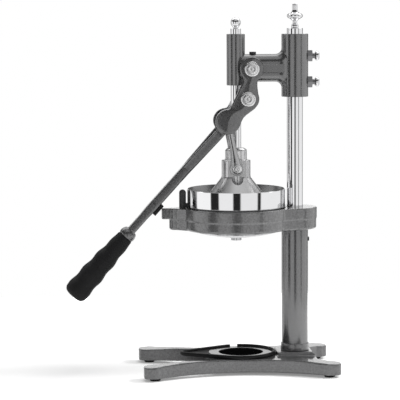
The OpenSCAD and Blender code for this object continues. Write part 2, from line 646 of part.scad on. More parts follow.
// The swept room that a link needs inside its cheek.
module link_room() {
    function dir(t) = [cos(t), sin(t)];
    w = link_top_r + wander;
    reach = boss_c*3.4;
    translate(C) circle(r = pocket_r);
    translate(C) polygon([w*dir(link_fall - 90), w*dir(link_fall - 90) + reach*dir(link_fall), reach*dir(link_least),
                 reach*dir(room_most), boss_c*1.15*dir(room_back), 0.8*w*dir(room_end)]);
}
module fork_plan() {
    // Seen square to the bar: along it, and out to each side.
    half = bar_d/2;
    outer = cheek_out - crown - fork_inset;
    inner = cheek_in + fork_inset;
    root = 0.24*half;
    polygon([[0, -outer], [taper_s, -outer], [crotch_s, -half], [collar_s, -half],
             [collar_s, half], [crotch_s, half], [taper_s, outer], [0, outer],
             [0, inner], [taper_s, inner], [crotch_s - 1.4*half, 2*root], [crotch_s - half, 0],
             [crotch_s - 1.4*half, -2*root], [taper_s, -inner], [0, -inner]]);
}
// Turns a piece drawn down its own Z into place along the bar.
module on_bar() {
    translate([bar_axis[0], 0, bar_axis[1]]) rotate([0, -90 - bar_slope, 0]) children();
}
module lever() color([0.4, 0.4, 0.4]) in_place() difference() {
    union() {
        both_sides() {
            cheek(0, -cheek_out + crown, -cheek_in);
            cheek(crown, -cheek_out, -cheek_out + crown + over);
        }
        on_bar() rotate([0, -90, 0]) translate([0, 0, -bar_w/2]) linear_extrude(bar_w) fork_plan();
        on_bar() translate([0, 0, collar_s]) rotate_extrude() polygon([
            [0, -collar_len*0.44], [bar_w*0.45, -collar_len*0.44], [bar_w*0.68, -collar_len*0.28],
            [grip_r*0.95, 0], [grip_r + 0.2, collar_len*0.39], [grip_r + 0.2, collar_len*0.78],
            [grip_r*0.93, collar_len], [0, collar_len]]);
        on_bar() translate([0, 0, grip_s - over]) cylinder(r = tang_r, h = tang_len);
    }
    both_sides() slab(-pocket_out, -cheek_in + over) link_room();
    both_sides() ycyl(C, link_pin_r + wander, -pocket_out - 0.38*cheek_skin, -cheek_in);
    ycyl(A, fulcrum_r + run_gap, -2*cheek_out, 2*cheek_out);
    ycyl(B, cheek_bolt_r + run_gap, -2*cheek_out, 2*cheek_out);
    // the open fork between the cheeks
    slab(-cheek_in, cheek_in) difference() {
        translate((A + C)/2) square([5*boss_a, 9*boss_a], center = true);
        translate(C) rotate(bar_slope) translate([-3*boss_c - taper_s, -3*boss_c]) square([3*boss_c, 6*boss_c]);
    }
    on_bar() translate([pin_n, -bar_d, pin_s]) rotate([-90, 0, 0]) cylinder(r = pin_r + run_gap, h = 2*bar_d);
}
module retainer(y) difference() {
    union() {
        ycyl(A, 0.82*boss_a, y, y + retainer_t);
        ycyl(B, 0.81*boss_b, y, y + retainer_t);
        ycyl(C, 0.8*boss_c, y, y + retainer_t);
        slab(y, y + retainer_t) polygon([A + boss_a*[-0.54, -0.36], A + boss_a*[0.54, -0.48], B + boss_b*[0.63, 0.38],
            B + boss_b*[0.31, -0.63], C + boss_c*[0.52, 0.52], C + boss_c*[-0.17, 0.69], C + boss_c*[0.75, 1.95],
            B + boss_b*[-0.57, 0.63]]);
    }
    ycyl(A, fulcrum_r + run_gap, y - over, y + retainer_t + over);
    ycyl(B, cheek_bolt_r + run_gap, y - over, y + retainer_t + over);
}
module retainer_front() color([0.6, 0.6, 0.62]) in_place() retainer(-cheek_in);
module retainer_rear() color([0.6, 0.6, 0.62]) in_place() retainer(fork_in);
module grip() color([0.12, 0.12, 0.12]) in_place() on_bar() translate([0, 0, grip_s]) difference() {
    rotate_extrude() polygon(grip_side);
    translate([0, 0, -over]) cylinder(r = tang_r + run_gap, h = tang_len + over);
}
module bumper() color([0.06, 0.06, 0.06]) in_place() on_bar()
    translate([-bar_w/2 - bumper_t, -0.45*bar_d, bumper_s]) cube([bumper_t, 0.9*bar_d, bumper_len]);
module bumper_pin() color([0.3, 0.3, 0.3]) in_place() on_bar() translate([pin_n, -0.53*bar_d, pin_s])
    rotate([-90, 0, 0]) cylinder(r = pin_r, h = 1.06*bar_d);

// ---- press ----

module presser() color([0.66, 0.66, 0.67]) in_place() difference() {
    rotate_extrude($fn = 180) polygon([[0, hub_top], [hub_r*0.74, hub_top], [hub_r*0.92, hub_top - edge], [hub_r, hub_top - 4*edge],
        [hub_r, body_top], [press_r - edge, body_top], [press_r, body_top - edge], [press_r, cone_z],
        [bell_r, bell_z + bell_lip], [bell_r, bell_z], [bell_r - bell_wall, bell_z],
        [bell_r - 1.2*bell_wall, bell_z + 0.12*cave_h], [bell_r*0.66, bell_z + 0.41*cave_h],
        [bell_r*0.44, bell_z + 0.71*cave_h], [bell_r*0.26, bell_z + 0.93*cave_h], [0, bell_z + cave_h]]);
    both_sides() {
        translate([-2*press_r, -3*press_r, cone_z + edge]) cube([4*press_r, 3*press_r - press_flat, body_top - cone_z]);
        intersection() {
            translate([0, -press_r + edge, cone_z - scoop_deep]) cylinder(r = scoop_r, h = 2*scoop_deep);
            translate([-scoop_r, -2*press_r, cone_z - 2*scoop_deep]) cube([2*scoop_r, 2*press_r - press_flat, 4*scoop_deep]);
        }
        ycyl(D, link_bolt_r, -2*press_r, -press_flat + link_bolt_deep);
    }
    translate([0, 0, rod_z0]) cylinder(r = guide_r, h = hub_top);
}
module guide_rod() color([0.82, 0.82, 0.82]) in_place() difference() {
    rotate_extrude() polygon([[0, rod_z0], [guide_r, rod_z0], [guide_r, guide_top - edge], [guide_r - edge, guide_top], [0, guide_top]]);
    translate([0, 0, guide_top - ball_stud - over]) cylinder(r = ball_stud_r + run_gap, h = ball_stud + 2*over);
}
module ball_knob() color([0.85, 0.85, 0.85]) in_place() {
    translate([0, 0, ball_z]) sphere(r = ball_r);
    translate([0, 0, guide_top]) cylinder(r = neck_r, h = neck_h + 0.3*ball_r);
    translate([0, 0, guide_top - ball_stud]) cylinder(r = ball_stud_r, h = ball_stud + over);
}
module link_bolts() color([0.75, 0.75, 0.75]) in_place() both_sides() {
    ycyl(D, link_bolt_r, -link_out - over, -press_flat + link_bolt_deep - over);
    difference() {
        ycyl(D, link_head_r, -link_out - face_gap - bolt_head_t, -link_out - face_gap);
        ycyl(D, socket_r, -link_out - 2*bolt_head_t, -link_out - face_gap - bolt_head_t/2, 6);
    }
}
module link_shank() {
    down = [cos(link_fall), sin(link_fall)];
    side = [-down[1], down[0]];
    w = link_top_r;
    polygon([C + 0.8*w*side + 0.4*w*down, C + 0.57*w*side + 2.2*w*down, C + 0.57*w*side + 4.7*w*down,
             D + 0.84*link_eye_r*side - 0.3*link_eye_r*down, D - 0.84*link_eye_r*side - 0.3*link_eye_r*down,
             C - 0.53*w*side + 5.2*w*down, C - 0.53*w*side + 2.2*w*down, C - 0.8*w*side + 0.4*w*down]);
}
module link_side() difference() {
    union() {
        ycyl(C, link_top_r, -link_out, -link_in);
        ycyl(D, link_eye_r, -link_out, -link_in);
        slab(-link_out, -link_in) link_shank();
    }
    ycyl(D, link_bolt_r + run_gap, -link_out - over, -link_in + over);
    ycyl(C, link_pin_r + run_gap, -link_out - over, -link_in + over);
}
module link_pin() ycyl(C, link_pin_r, -pocket_out - 0.27*cheek_skin, -link_in);
module link_front() color([0.7, 0.7, 0.71]) in_place() link_side();
module link_rear() color([0.7, 0.7, 0.71]) in_place() mirror([0, 1, 0]) link_side();
module link_pin_front() color([0.6, 0.6, 0.6]) in_place() link_pin();
module link_pin_rear() color([0.6, 0.6, 0.6]) in_place() mirror([0, 1, 0]) link_pin();

base_casting();
rubber_feet();
foot_screws();
drip_tray();
post_tube();
post_collar();
column_rod();
column_washer();
column_nut();
post_set_screw();
cup_ring();
funnel();
strainer();
reamer();
cup_peg();
head_casting();
guide_bush_upper();
guide_bush_lower();
clamp_screw_upper();
clamp_screw_lower();
clamp_lock_nuts();
finial();
arm_screw();
fulcrum_bush();
fulcrum_washers();
fulcrum_bolt();
fulcrum_nut();
lever();
retainer_front();
retainer_rear();
cheek_bolts();
grip();
bumper();
bumper_pin();
presser();
guide_rod();
ball_knob();
link_bolts();
link_front();
link_rear();
link_pin_front();
link_pin_rear();
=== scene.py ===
# %% [markdown]
# # A lever citrus juice press
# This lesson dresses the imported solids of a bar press: enamelled castings, chromed rods,
# a cast press bell and a rubber grip. Each cell makes one piece or one finish.

# %% The frame and the CAD box
import json
import math

import bmesh
import bpy
import numpy as np
from mathutils import Matrix, Vector


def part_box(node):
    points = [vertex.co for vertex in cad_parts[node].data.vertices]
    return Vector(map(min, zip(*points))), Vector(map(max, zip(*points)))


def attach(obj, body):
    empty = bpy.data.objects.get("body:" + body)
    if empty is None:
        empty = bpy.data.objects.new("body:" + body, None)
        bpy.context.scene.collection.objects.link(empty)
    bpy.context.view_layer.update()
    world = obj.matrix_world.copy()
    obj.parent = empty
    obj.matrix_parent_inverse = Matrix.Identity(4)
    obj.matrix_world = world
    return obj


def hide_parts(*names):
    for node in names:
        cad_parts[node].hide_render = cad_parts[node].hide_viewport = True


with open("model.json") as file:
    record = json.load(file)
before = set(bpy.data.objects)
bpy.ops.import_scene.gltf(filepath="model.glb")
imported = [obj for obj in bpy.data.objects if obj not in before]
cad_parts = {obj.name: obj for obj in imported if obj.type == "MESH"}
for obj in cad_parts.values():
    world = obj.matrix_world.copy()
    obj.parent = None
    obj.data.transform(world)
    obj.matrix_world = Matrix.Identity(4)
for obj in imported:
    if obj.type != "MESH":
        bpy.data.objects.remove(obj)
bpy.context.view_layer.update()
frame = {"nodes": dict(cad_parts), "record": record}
guide_x = sum(c.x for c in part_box("guide_rod"))/2*1000

# %% [markdown]
# ## The camera
# The photograph was taken from a little to the left and a little above, from far away with a long
# lens. A camera far off keeps the column nearly parallel, so the lens is long instead of near.

# %% Camera


def shown(name, data):
    """A new object in the scene."""
    made = bpy.data.objects.new(name, data)
    bpy.context.scene.collection.objects.link(made)
    return made


camera_turn, camera_rise, camera_roll = math.radians(-5.68), math.radians(5.7), math.radians(-0.16)
camera_far = 2.749
camera_aim = Vector((guide_x, 0, 250))/1000
toward_camera = Vector((math.sin(camera_turn)*math.cos(camera_rise),
                        -math.cos(camera_turn)*math.cos(camera_rise), math.sin(camera_rise)))
camera_at = camera_aim + camera_far*toward_camera
camera = shown("camera", bpy.data.cameras.new("camera"))
camera.data.lens = 176.3
camera.data.shift_x = -0.0903
camera.data.shift_y = -0.0167
camera.data.sensor_width = 36
camera.data.clip_end = 20
camera.location = camera_at
camera.rotation_mode = "QUATERNION"
looking = (camera_aim - camera_at).to_track_quat("-Z", "Y")
camera.rotation_quaternion = looking @ Matrix.Rotation(camera_roll, 3, "Z").to_quaternion()
bpy.context.scene.camera = camera
bpy.context.scene.view_settings.view_transform = "Standard"
print("camera", tuple(round(v, 3) for v in camera_at), "m, turned", round(math.degrees(camera_turn), 2), "degrees")

# %% [markdown]
# ## Shader maths
# A material is a graph of nodes, and a graph is slow to read. This small class lets a value be
# written as plain arithmetic: each operator adds one Math node. Any other node comes from `add`.

# %% One class for values and one method for nodes


def add(tree, kind, settings=None, sockets=None, out=0):
    """Adds a node: its settings first, then the values or links of its sockets."""
    node = tree.nodes.new(kind)
    for key, value in (settings or {}).items():
        if key == "stops":
            ramp = node.color_ramp
            while len(ramp.elements) < len(value):
                ramp.elements.new(0.5)
            for stop, (place, grey) in zip(ramp.elements, value):
                stop.position = place
                stop.color = (grey, grey, grey, 1) if isinstance(grey, (int, float)) else (*grey, 1)
        else:
            setattr(node, key, value)
    for key, value in (sockets or {}).items():
        socket = node.inputs[key]
        if isinstance(value, Wire):
            tree.links.new(value.socket, socket)
        else:
            socket.default_value = value
    return Wire(tree, node.outputs[out]) if node.outputs else node


class Wire:
    """A socket that takes part in arithmetic."""

    def __init__(self, tree, socket):
        self.tree, self.socket = tree, socket

    def maths(self, operation, a, b):
        return add(self.tree, "ShaderNodeMath", {"operation": operation}, {0: a, 1: b})

    def __add__(self, other): return self.maths("ADD", self, other)
    def __radd__(self, other): return self.maths("ADD", other, self)
    def __sub__(self, other): return self.maths("SUBTRACT", self, other)
    def __rsub__(self, other): return self.maths("SUBTRACT", other, self)
    def __mul__(self, other): return self.maths("MULTIPLY", self, other)
    def __rmul__(self, other): return self.maths("MULTIPLY", other, self)
    def __truediv__(self, other): return self.maths("DIVIDE", self, other)
    def __rtruediv__(self, other): return self.maths("DIVIDE", other, self)
    def __lt__(self, other): return self.maths("LESS_THAN", self, other)


def finish(name, metallic=0.0, coat=0.0, coat_rough=0.1, specular=0.5):
    """A new material with one Principled shader, and the steady values on its sockets."""
    material = bpy.data.materials.new(name)
    material.use_nodes = True
    shader = material.node_tree.nodes["Principled BSDF"]
    shader.inputs["Metallic"].default_value = metallic
    shader.inputs["Coat Weight"].default_value = coat
    shader.inputs["Coat Roughness"].default_value = coat_rough
    shader.inputs["Specular IOR Level"].default_value = specular
    return material, material.node_tree, shader


def feed(tree, shader, **wires):
    """Links values to the shader's sockets; Base_Color stands for Base Color."""
    for key, value in wires.items():
        tree.links.new(value.socket, shader.inputs[key.replace("_", " ")])


def spots(tree, scale, detail=2.0, rough=0.5, stretch=(1, 1, 1)):
    """Noise in the object's own metres."""
    place = add(tree, "ShaderNodeTexCoord", out=3)
    drawn_out = add(tree, "ShaderNodeMapping", None, {"Vector": place, "Scale": stretch})
    return add(tree, "ShaderNodeTexNoise", None,
               {"Vector": drawn_out, "Scale": scale, "Detail": detail, "Roughness": rough})


def blendgrey(tree, factor, dark, light):
    """Colour from dark to light as factor goes from 0 to 1."""
    return add(tree, "ShaderNodeMix", {"data_type": "RGBA"}, {0: factor, 6: (*dark, 1), 7: (*light, 1)}, out=2)


def bump(tree, height, strength, distance):
    return add(tree, "ShaderNodeBump", None, {"Height": height, "Strength": strength, "Distance": distance})


print("shader helpers ready")

# %% [markdown]
# ## Hammertone enamel
# Hammer finish is a grey enamel that draws itself into small glossy dimples as it dries. Cells of a
# Voronoi pattern give the dimples, and slow noise makes them larger in some places than in others.

# %% Hammertone


def hammer_enamel(name, dark, light, metallic=0.55):
    material, tree, shader = finish(name, metallic=metallic, coat=0.8, coat_rough=0.1)
    place = add(tree, "ShaderNodeTexCoord", out=3)
    drift = spots(tree, 70, 2)
    cells = add(tree, "ShaderNodeTexVoronoi", {"feature": "SMOOTH_F1"},
                {"Vector": place, "Scale": 420.0, "Smoothness": 0.7})
    small = spots(tree, 900, 3)
    patch = spots(tree, 260, 3, 0.6)
    height = cells*0.7 + small*0.25 + drift*0.5
    tone = add(tree, "ShaderNodeValToRGB", {"stops": [(0.3, dark), (0.7, light)]}, {"Fac": cells*0.5 + patch*0.6})
    feed(tree, shader, Base_Color=tone, Roughness=0.22 + small*0.14, Normal=bump(tree, height, 0.35, 0.0005))
    return material


hammer = hammer_enamel("hammer_enamel", (0.13, 0.13, 0.132), (0.21, 0.21, 0.212), 0.7)
# The lever and the base get darker copies of the same enamel, which paint in the shade that those parts show.
lever_hammer_shaded = hammer_enamel("hammer_enamel_lever_shaded", (0.12, 0.12, 0.122), (0.165, 0.165, 0.167), 0.75)
base_hammer_shaded = hammer_enamel("hammer_enamel_base_shaded", (0.12, 0.12, 0.122), (0.17, 0.17, 0.172), 0.7)
print("made", hammer.name, lever_hammer_shaded.name, "and", base_hammer_shaded.name)

# %% [markdown]
# ## Smooth enamel, chrome, steel, cast aluminium, rubber and plastic
# The head and the tube carry a smooth gloss coat. Each other finish differs in how rough it is, in
# what its grain looks like, and in how much the grain changes over the piece. They could all be one
# recipe with sliders, but four short recipes are easier to read and to change.

# %% Recipes for the other finishes


def gloss_enamel(name, grey):
    material, tree, shader = finish(name, metallic=0.75, coat=0.3, coat_rough=0.08)
    orange_peel = spots(tree, 200, 2)
    dust = spots(tree, 2600, 2)
    tone = blendgrey(tree, orange_peel*0.6 + dust*0.4, tuple(g*0.92 for g in grey), tuple(g*1.1 for g in grey))
    feed(tree, shader, Base_Color=tone, Roughness=0.19 + dust*0.04, Normal=bump(tree, orange_peel, 0.004, 0.0001))
    return material


def plated(name, grey, rough, grain, wave=0.05):
    material, tree, shader = finish(name, metallic=1.0)
    polish = spots(tree, 60, 3)
    lines = spots(tree, 900, 2, 0.6, grain)
    feed(tree, shader, Base_Color=blendgrey(tree, polish, tuple(g*0.97 for g in grey), grey),
         Roughness=rough*(0.75 + lines*0.5) + polish*0.02, Normal=bump(tree, lines, wave, 0.0002))
    return material


def cast_metal(name, grey, rough=0.25):
    material, tree, shader = finish(name, metallic=1.0)
    sand = spots(tree, 1500, 4, 0.65)
    flow = spots(tree, 45, 3)
    tone = blendgrey(tree, sand*0.5 + flow*0.5, tuple(g*0.8 for g in grey), tuple(min(1, g*1.15) for g in grey))
    feed(tree, shader, Base_Color=tone, Roughness=rough + sand*0.12, Normal=bump(tree, sand, 0.15, 0.0002))
    return material


def soft_black(name, grey, rough, scale, depth, shine=0.25):
    material, tree, shader = finish(name, specular=shine)
    grain = spots(tree, scale, 3, 0.6)
    wear = spots(tree, 25, 3)
    tone = blendgrey(tree, wear*0.6 + grain*0.4, tuple(g*0.7 for g in grey), tuple(g*1.3 for g in grey))
    feed(tree, shader, Base_Color=tone, Roughness=rough + grain*0.15, Normal=bump(tree, grain, 0.35, depth))
    return material


print("four recipes ready")

# %% [markdown]
# Each recipe now makes the finishes that the press needs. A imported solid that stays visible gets
# the finish of its slot, and the two lock nuts a darker one, as they are not plated.

# %% The other finishes
enamel = gloss_enamel("smooth_enamel", (0.2, 0.2, 0.202))
chrome = plated("chrome_plate", (0.86, 0.86, 0.87), 0.05, (1, 1, 0.05), 0.01)
steel = plated("bright_steel", (0.62, 0.62, 0.63), 0.3, (1, 1, 1), 0.08)
brushed = plated("brushed_steel", (0.66, 0.66, 0.67), 0.26, (1, 1, 0.04), 0.1)
aluminium = cast_metal("cast_aluminium", (0.68, 0.68, 0.685), 0.22)
bronze = plated("sintered_bronze", (0.55, 0.38, 0.19), 0.35, (1, 1, 1), 0.1)
rubber = soft_black("grip_rubber", (0.009, 0.009, 0.0095), 0.55, 1900, 0.0003)
plastic = soft_black("tray_plastic", (0.006, 0.006, 0.0063), 0.38, 2600, 0.00012)
wet_plastic = soft_black("tray_plastic_polished", (0.012, 0.012, 0.0125), 0.02, 900, 0.000004, 0.7)
# The well's plastic is near black and has no shine at all.
well_plastic = soft_black("tray_plastic_dull_black", (0.003, 0.003, 0.0032), 0.8, 1200, 0.0001, 0.0)
blackened = soft_black("blackened_steel", (0.05, 0.05, 0.052), 0.3, 1400, 0.0002)
eye_metal = plated("turned_eye", (0.72, 0.72, 0.725), 0.16, (1, 1, 1), 0.05)
link_metal = cast_metal("forged_link", (0.44, 0.44, 0.444), 0.1)
bolt_metal = plated("zinc_cap", (0.84, 0.84, 0.845), 0.2, (1, 1, 1), 0.05)
# The bowl's metal is much darker than the other steels: painted shade for the inside of the cup.
shaded_bowl_metal = plated("brushed_bowl_painted_shade", (0.26, 0.26, 0.262), 0.26, (1, 1, 0.04), 0.06)
knob_metal = plated("knob_plate", (0.8, 0.8, 0.81), 0.1, (1, 1, 1), 0.02)
nut_metal = plated("blued_nut", (0.2, 0.2, 0.205), 0.16, (1, 1, 1), 0.05)
slot_finish = {"hammer_paint": hammer, "gloss_paint": enamel, "chrome": chrome, "steel": steel,
               "cast_aluminium": aluminium, "bronze": bronze, "black_rubber": rubber,
               "black_plastic": plastic, "dark_steel": blackened}
for part in frame["record"]["subparts"]:
    solid = frame["nodes"][part["node"]]
    solid.data.materials.clear()
    own = nut_metal if part["node"] == "clamp_lock_nuts" else slot_finish[part["material_slot"]]
    solid.data.materials.append(own)
print("finishes on", len(frame["nodes"]), "solids")

# %% [markdown]
# ## Making meshes
# A press is mostly turned and cast. `turned` spins a side view round an axis, `lofted` joins a row
# of outlines, and `cast` melts overlapping forms into one skin with soft corners, as a mould does.

# %% Points to a mesh


def placed(points):
    """Millimetres from the guide axis to metres in the frame."""
    points = np.asarray(points, float).reshape(-1, 3)
    return [Vector(((x + guide_x)/1000, y/1000, z/1000)) for x, y, z in points]


def shade(mesh, sharp_from=None):
    """Smooth faces, with a crease where they meet at more than sharp_from degrees."""
    mesh.polygons.foreach_set("use_smooth", [True]*len(mesh.polygons))
    if sharp_from is not None:
        mesh.set_sharp_from_angle(angle=math.radians(sharp_from))


def mesh_object(name, points, faces, material, smooth=40):
    mesh = bpy.data.meshes.new(name)
    mesh.from_pydata(placed(points), [], faces)
    tidy = bmesh.new()
    tidy.from_mesh(mesh)
    bmesh.ops.remove_doubles(tidy, verts=tidy.verts, dist=1e-6)
    bmesh.ops.recalc_face_normals(tidy, faces=tidy.faces)
    tidy.to_mesh(mesh)
    tidy.free()
    mesh.materials.append(material)
    shade(mesh, smooth)
    return shown(name, mesh)


def lofted(rings):
    """Points and faces of a closed skin over outlines that have the same number of points."""
    count = len(rings[0])
    points = [p for ring in rings for p in ring]
    faces = []
    for i in range(len(rings) - 1):
        here, there = i*count, (i + 1)*count
        for k in range(count):
            m = (k + 1) % count
            faces.append((here + k, here + m, there + m, there + k))
    faces.append(tuple(range(count))[::-1])
    faces.append(tuple((len(rings) - 1)*count + k for k in range(count)))
    return points, faces


print("points, skins and shading ready")

# %% [markdown]
# Turned work needs a side view only. Its corners are rounded first, because a real edge is never
# quite sharp and the small round is what catches the light.

# %% Turned work


def turned_skin(profile, centre=(0, 0, 0), axis="Z", around=96):
    """Spins (radius, height) pairs round an axis through centre."""
    rings = []
    for radius, height in profile:
        ring = []
        for k in range(around):
            a = 2*math.pi*k/around
            u, v = max(radius, 0.001)*math.cos(a), max(radius, 0.001)*math.sin(a)
            ring.append({"Z": (u, v, height), "X": (height, u, v), "Y": (u, height, v)}[axis])
        rings.append([(centre[0] + x, centre[1] + y, centre[2] + z) for x, y, z in ring])
    return lofted(rings)


def turned(name, profile, material, centre=(0, 0, 0), axis="Z", around=96, smooth=30):
    points, faces = turned_skin(profile, centre, axis, around)
    return mesh_object(name, points, faces, material, smooth)


def rounded(profile, size=0.6, steps=3):
    """Rounds the corners of a side view that is a list of points."""
    out = [profile[0]]
    for before, corner, after in zip(profile, profile[1:], profile[2:]):
        b, c, a = np.array(before, float), np.array(corner, float), np.array(after, float)
        cut = min(size, np.linalg.norm(b - c)*0.45, np.linalg.norm(a - c)*0.45)
        start = c + (b - c)/max(np.linalg.norm(b - c), 1e-9)*cut
        end = c + (a - c)/max(np.linalg.norm(a - c), 1e-9)*cut
        for k in range(steps + 1):
            t = k/steps
            out.append(tuple((1 - t)**2*start + 2*t*(1 - t)*c + t*t*end))
    return out + [profile[-1]]


def join(name, skins, material, smooth=40):
    """One mesh of several skins that may overlap."""
    points, faces = [], []
    for some_points, some_faces in skins:
        base = len(points)
        points += [tuple(p) for p in some_points]
        faces += [tuple(base + i for i in face) for face in some_faces]
    return mesh_object(name, points, faces, material, smooth)


print("lathe ready")

# %% [markdown]
# Castings are melted together by a voxel remesh and softened, and milled faces are cut away with a
# boolean. Both are modifiers, and each result is made a plain mesh before it rides on a body.

# %% Casting and cutting


def applied(made):
    """Turns an object with modifiers into a plain mesh."""
    graph = bpy.context.evaluated_depsgraph_get()
    mesh = bpy.data.meshes.new_from_object(made.evaluated_get(graph))
    made.modifiers.clear()
    made.data = mesh
    return made


def cast(made, voxel, soften):
    """Melts overlapping forms into one skin and softens its corners."""
    remesh = made.modifiers.new("melt", "REMESH")
    remesh.mode = "VOXEL"
    remesh.voxel_size = voxel/1000
    soft = made.modifiers.new("soften", "SMOOTH")
    soft.factor = 0.5
    soft.iterations = soften
    applied(made)
    shade(made.data)
    print(made.name, len(made.data.polygons), "faces after casting")
    return made


def cut(made, cutters):
    """Takes the cutters away from a piece."""
    for cutter in cutters:
        knife = made.modifiers.new("cut", "BOOLEAN")
        knife.operation = "DIFFERENCE"
        knife.solver = "EXACT"
        knife.object = cutter
    applied(made)
    for cutter in cutters:
        bpy.data.objects.remove(cutter)
    shade(made.data, 35)
    return made


print("casting and cutting ready")

# %% [markdown]
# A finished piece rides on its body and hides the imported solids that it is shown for. Where a
# packed casting already has the right form, a copy of it is softened instead of drawn again.

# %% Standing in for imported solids


def stands_for(made, body, slot, *nodes):
    """Ties a finished piece to its body and hides the solids it is shown for; slot is not used."""
    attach(made, body)
    if nodes:
        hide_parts(*nodes)
    return made


def recast(node, name, material, voxel, soften):
    """A soft-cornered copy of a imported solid, for castings."""
    solid = frame["nodes"][node]
    mesh = solid.data.copy()
    mesh.transform(solid.matrix_world)
    tidy = bmesh.new()
    tidy.from_mesh(mesh)
    bmesh.ops.remove_doubles(tidy, verts=tidy.verts, dist=1e-6)
    tidy.to_mesh(mesh)
    tidy.free()
    mesh.materials.clear()
    mesh.materials.append(material)
    return cast(shown(name, mesh), voxel, soften)


print("stand-in helpers ready")

# %% [markdown]
# ## One rule for pieces that repeat
# Bolt caps are the same shape in several places. Each could be made on its own, but a node tree
# takes the places as points, sets one shape on each, turns it by a seeded random angle, as bolts
# come to rest at any angle, and makes one mesh of them.

# %% A node tree that repeats a shape


def new_rule(name, inputs):
    """A Geometry Nodes tree with named inputs and one geometry output."""
    tree = bpy.data.node_groups.new(name, "GeometryNodeTree")
    for label, kind in inputs:
        tree.interface.new_socket(label, in_out="INPUT", socket_type="NodeSocket" + kind)
    tree.interface.new_socket("Geometry", in_out="OUTPUT", socket_type="NodeSocketGeometry")
    return tree, tree.nodes.new("NodeGroupInput"), tree.nodes.new("NodeGroupOutput")


def follow(made, tree, **values):
    """Sets a rule's inputs by their identifiers, and makes what it gives a plain mesh."""
    rule = made.modifiers.new("rule", "NODES")
    rule.node_group = tree
    named = {item.name: item.identifier for item in tree.interface.items_tree if item.in_out == "INPUT"}
    for label, value in values.items():
        rule[named[label]] = value
    return applied(made)


tree, given, result = new_rule("repeat_on_points", [("Points", "Geometry"), ("Shape", "Object"),
                                                    ("Finish", "Material"), ("Seed", "Int")])
shape = add(tree, "GeometryNodeObjectInfo", None, {"Object": Wire(tree, given.outputs["Shape"])}, out=4)
facing = add(tree, "GeometryNodeInputNamedAttribute", {"data_type": "FLOAT_VECTOR"}, {"Name": "facing"})
aligned = add(tree, "FunctionNodeAlignRotationToVector", {"axis": "Z"}, {"Vector": facing})
chance = add(tree, "FunctionNodeRandomValue", {"data_type": "FLOAT"},
             {2: 0.0, 3: 6.2832, "Seed": Wire(tree, given.outputs["Seed"])}, out=1)
spin = add(tree, "FunctionNodeAxisAngleToRotation", None, {"Axis": (0, 0, 1), "Angle": chance})
turn_to = add(tree, "FunctionNodeRotateRotation", {"rotation_space": "LOCAL"},
              {"Rotation": aligned, "Rotate By": spin})
copies = add(tree, "GeometryNodeInstanceOnPoints", None,
             {"Points": Wire(tree, given.outputs["Points"]), "Instance": shape, "Rotation": turn_to})
real = add(tree, "GeometryNodeRealizeInstances", None, {"Geometry": copies})
coloured = add(tree, "GeometryNodeSetMaterial", None,
               {"Geometry": real, "Material": Wire(tree, given.outputs["Finish"])})
tree.links.new(coloured.socket, result.inputs["Geometry"])
repeat_rule = tree
print("rule has", len(repeat_rule.nodes), "nodes")


def repeated(name, shape, places, facings, material, seed):
    """Sets a shape that faces +Z on each place, facing the way that is given, as one plain mesh."""
    seeds = bpy.data.meshes.new(name + "_places")
    seeds.from_pydata(placed(places), [], [])
    way = seeds.attributes.new("facing", "FLOAT_VECTOR", "POINT")
    way.data.foreach_set("vector", [c for f in facings for c in f])
    made = follow(shown(name, seeds), repeat_rule, Shape=shape, Finish=material, Seed=seed)
    bpy.data.objects.remove(shape)
    shade(made.data, 35)
    print(name, len(made.data.polygons), "faces in", len(places), "places")
    return made


# %% [markdown]
# ## Chromed rods, ball and finial
# Rods are turned and plated. They are plain, so what matters is a clean round section that mirrors
# the studio in straight stripes, and a small bevel at each end that catches the light.

# %% Rods and knobs
column_x = 83.0
guide_rod = turned("guide_rod_chromed", rounded([(0, 294.8), (7.3, 294.8), (7.3, 480.6), (0, 480.6)], 0.8), chrome)
stands_for(guide_rod, "press", "chrome", "guide_rod")
column_side = [(0, 5.2), (8, 5.2), (8, 26.6), (11.2, 26.6), (11.2, 481), (0, 481)]
column_rod = turned("column_rod_chromed", rounded(column_side, 0.9), chrome, (column_x, 0, 0))
stands_for(column_rod, "stand", "chrome", "column_rod")
ball = [(7.1*math.sin(math.radians(a)), 488.8 - 7.1*math.cos(math.radians(a))) for a in np.linspace(32, 180, 28)]
ball_knob = turned("ball_knob_chromed", [(0, 480.7), (4.0, 480.7), (3.6, 482.4)] + ball, chrome, smooth=50)
stands_for(ball_knob, "press", "chrome", "ball_knob")
finial_side = [(0, 0), (5.1, 0), (5.1, 3.2), (4.4, 5), (3.2, 6.2), (3, 8.6), (3.7, 10.2), (6.2, 12.6), (9.4, 13.9),
               (10.9, 15.5), (11.25, 17), (10.9, 18.5), (9.4, 20), (6.4, 20.9), (4.9, 21.6), (4.5, 23.2),
               (3.85, 24.8), (3.85, 32), (3.0, 33.6), (0, 34.2)]
finial_side = rounded([(r, 481 + z) for r, z in finial_side], 1.2, 4)
finial = turned("finial_chromed", finial_side, chrome, (column_x, 0, 0), smooth=60)
stands_for(finial, "stand", "chrome", "finial")
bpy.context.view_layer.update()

# %% [markdown]
# ## The head
# The head is a casting with two bored sleeves. Its arm is an upright oval that flares where it
# meets the column sleeve. A loft of ovals whose size grows near the sleeve gives that flare.

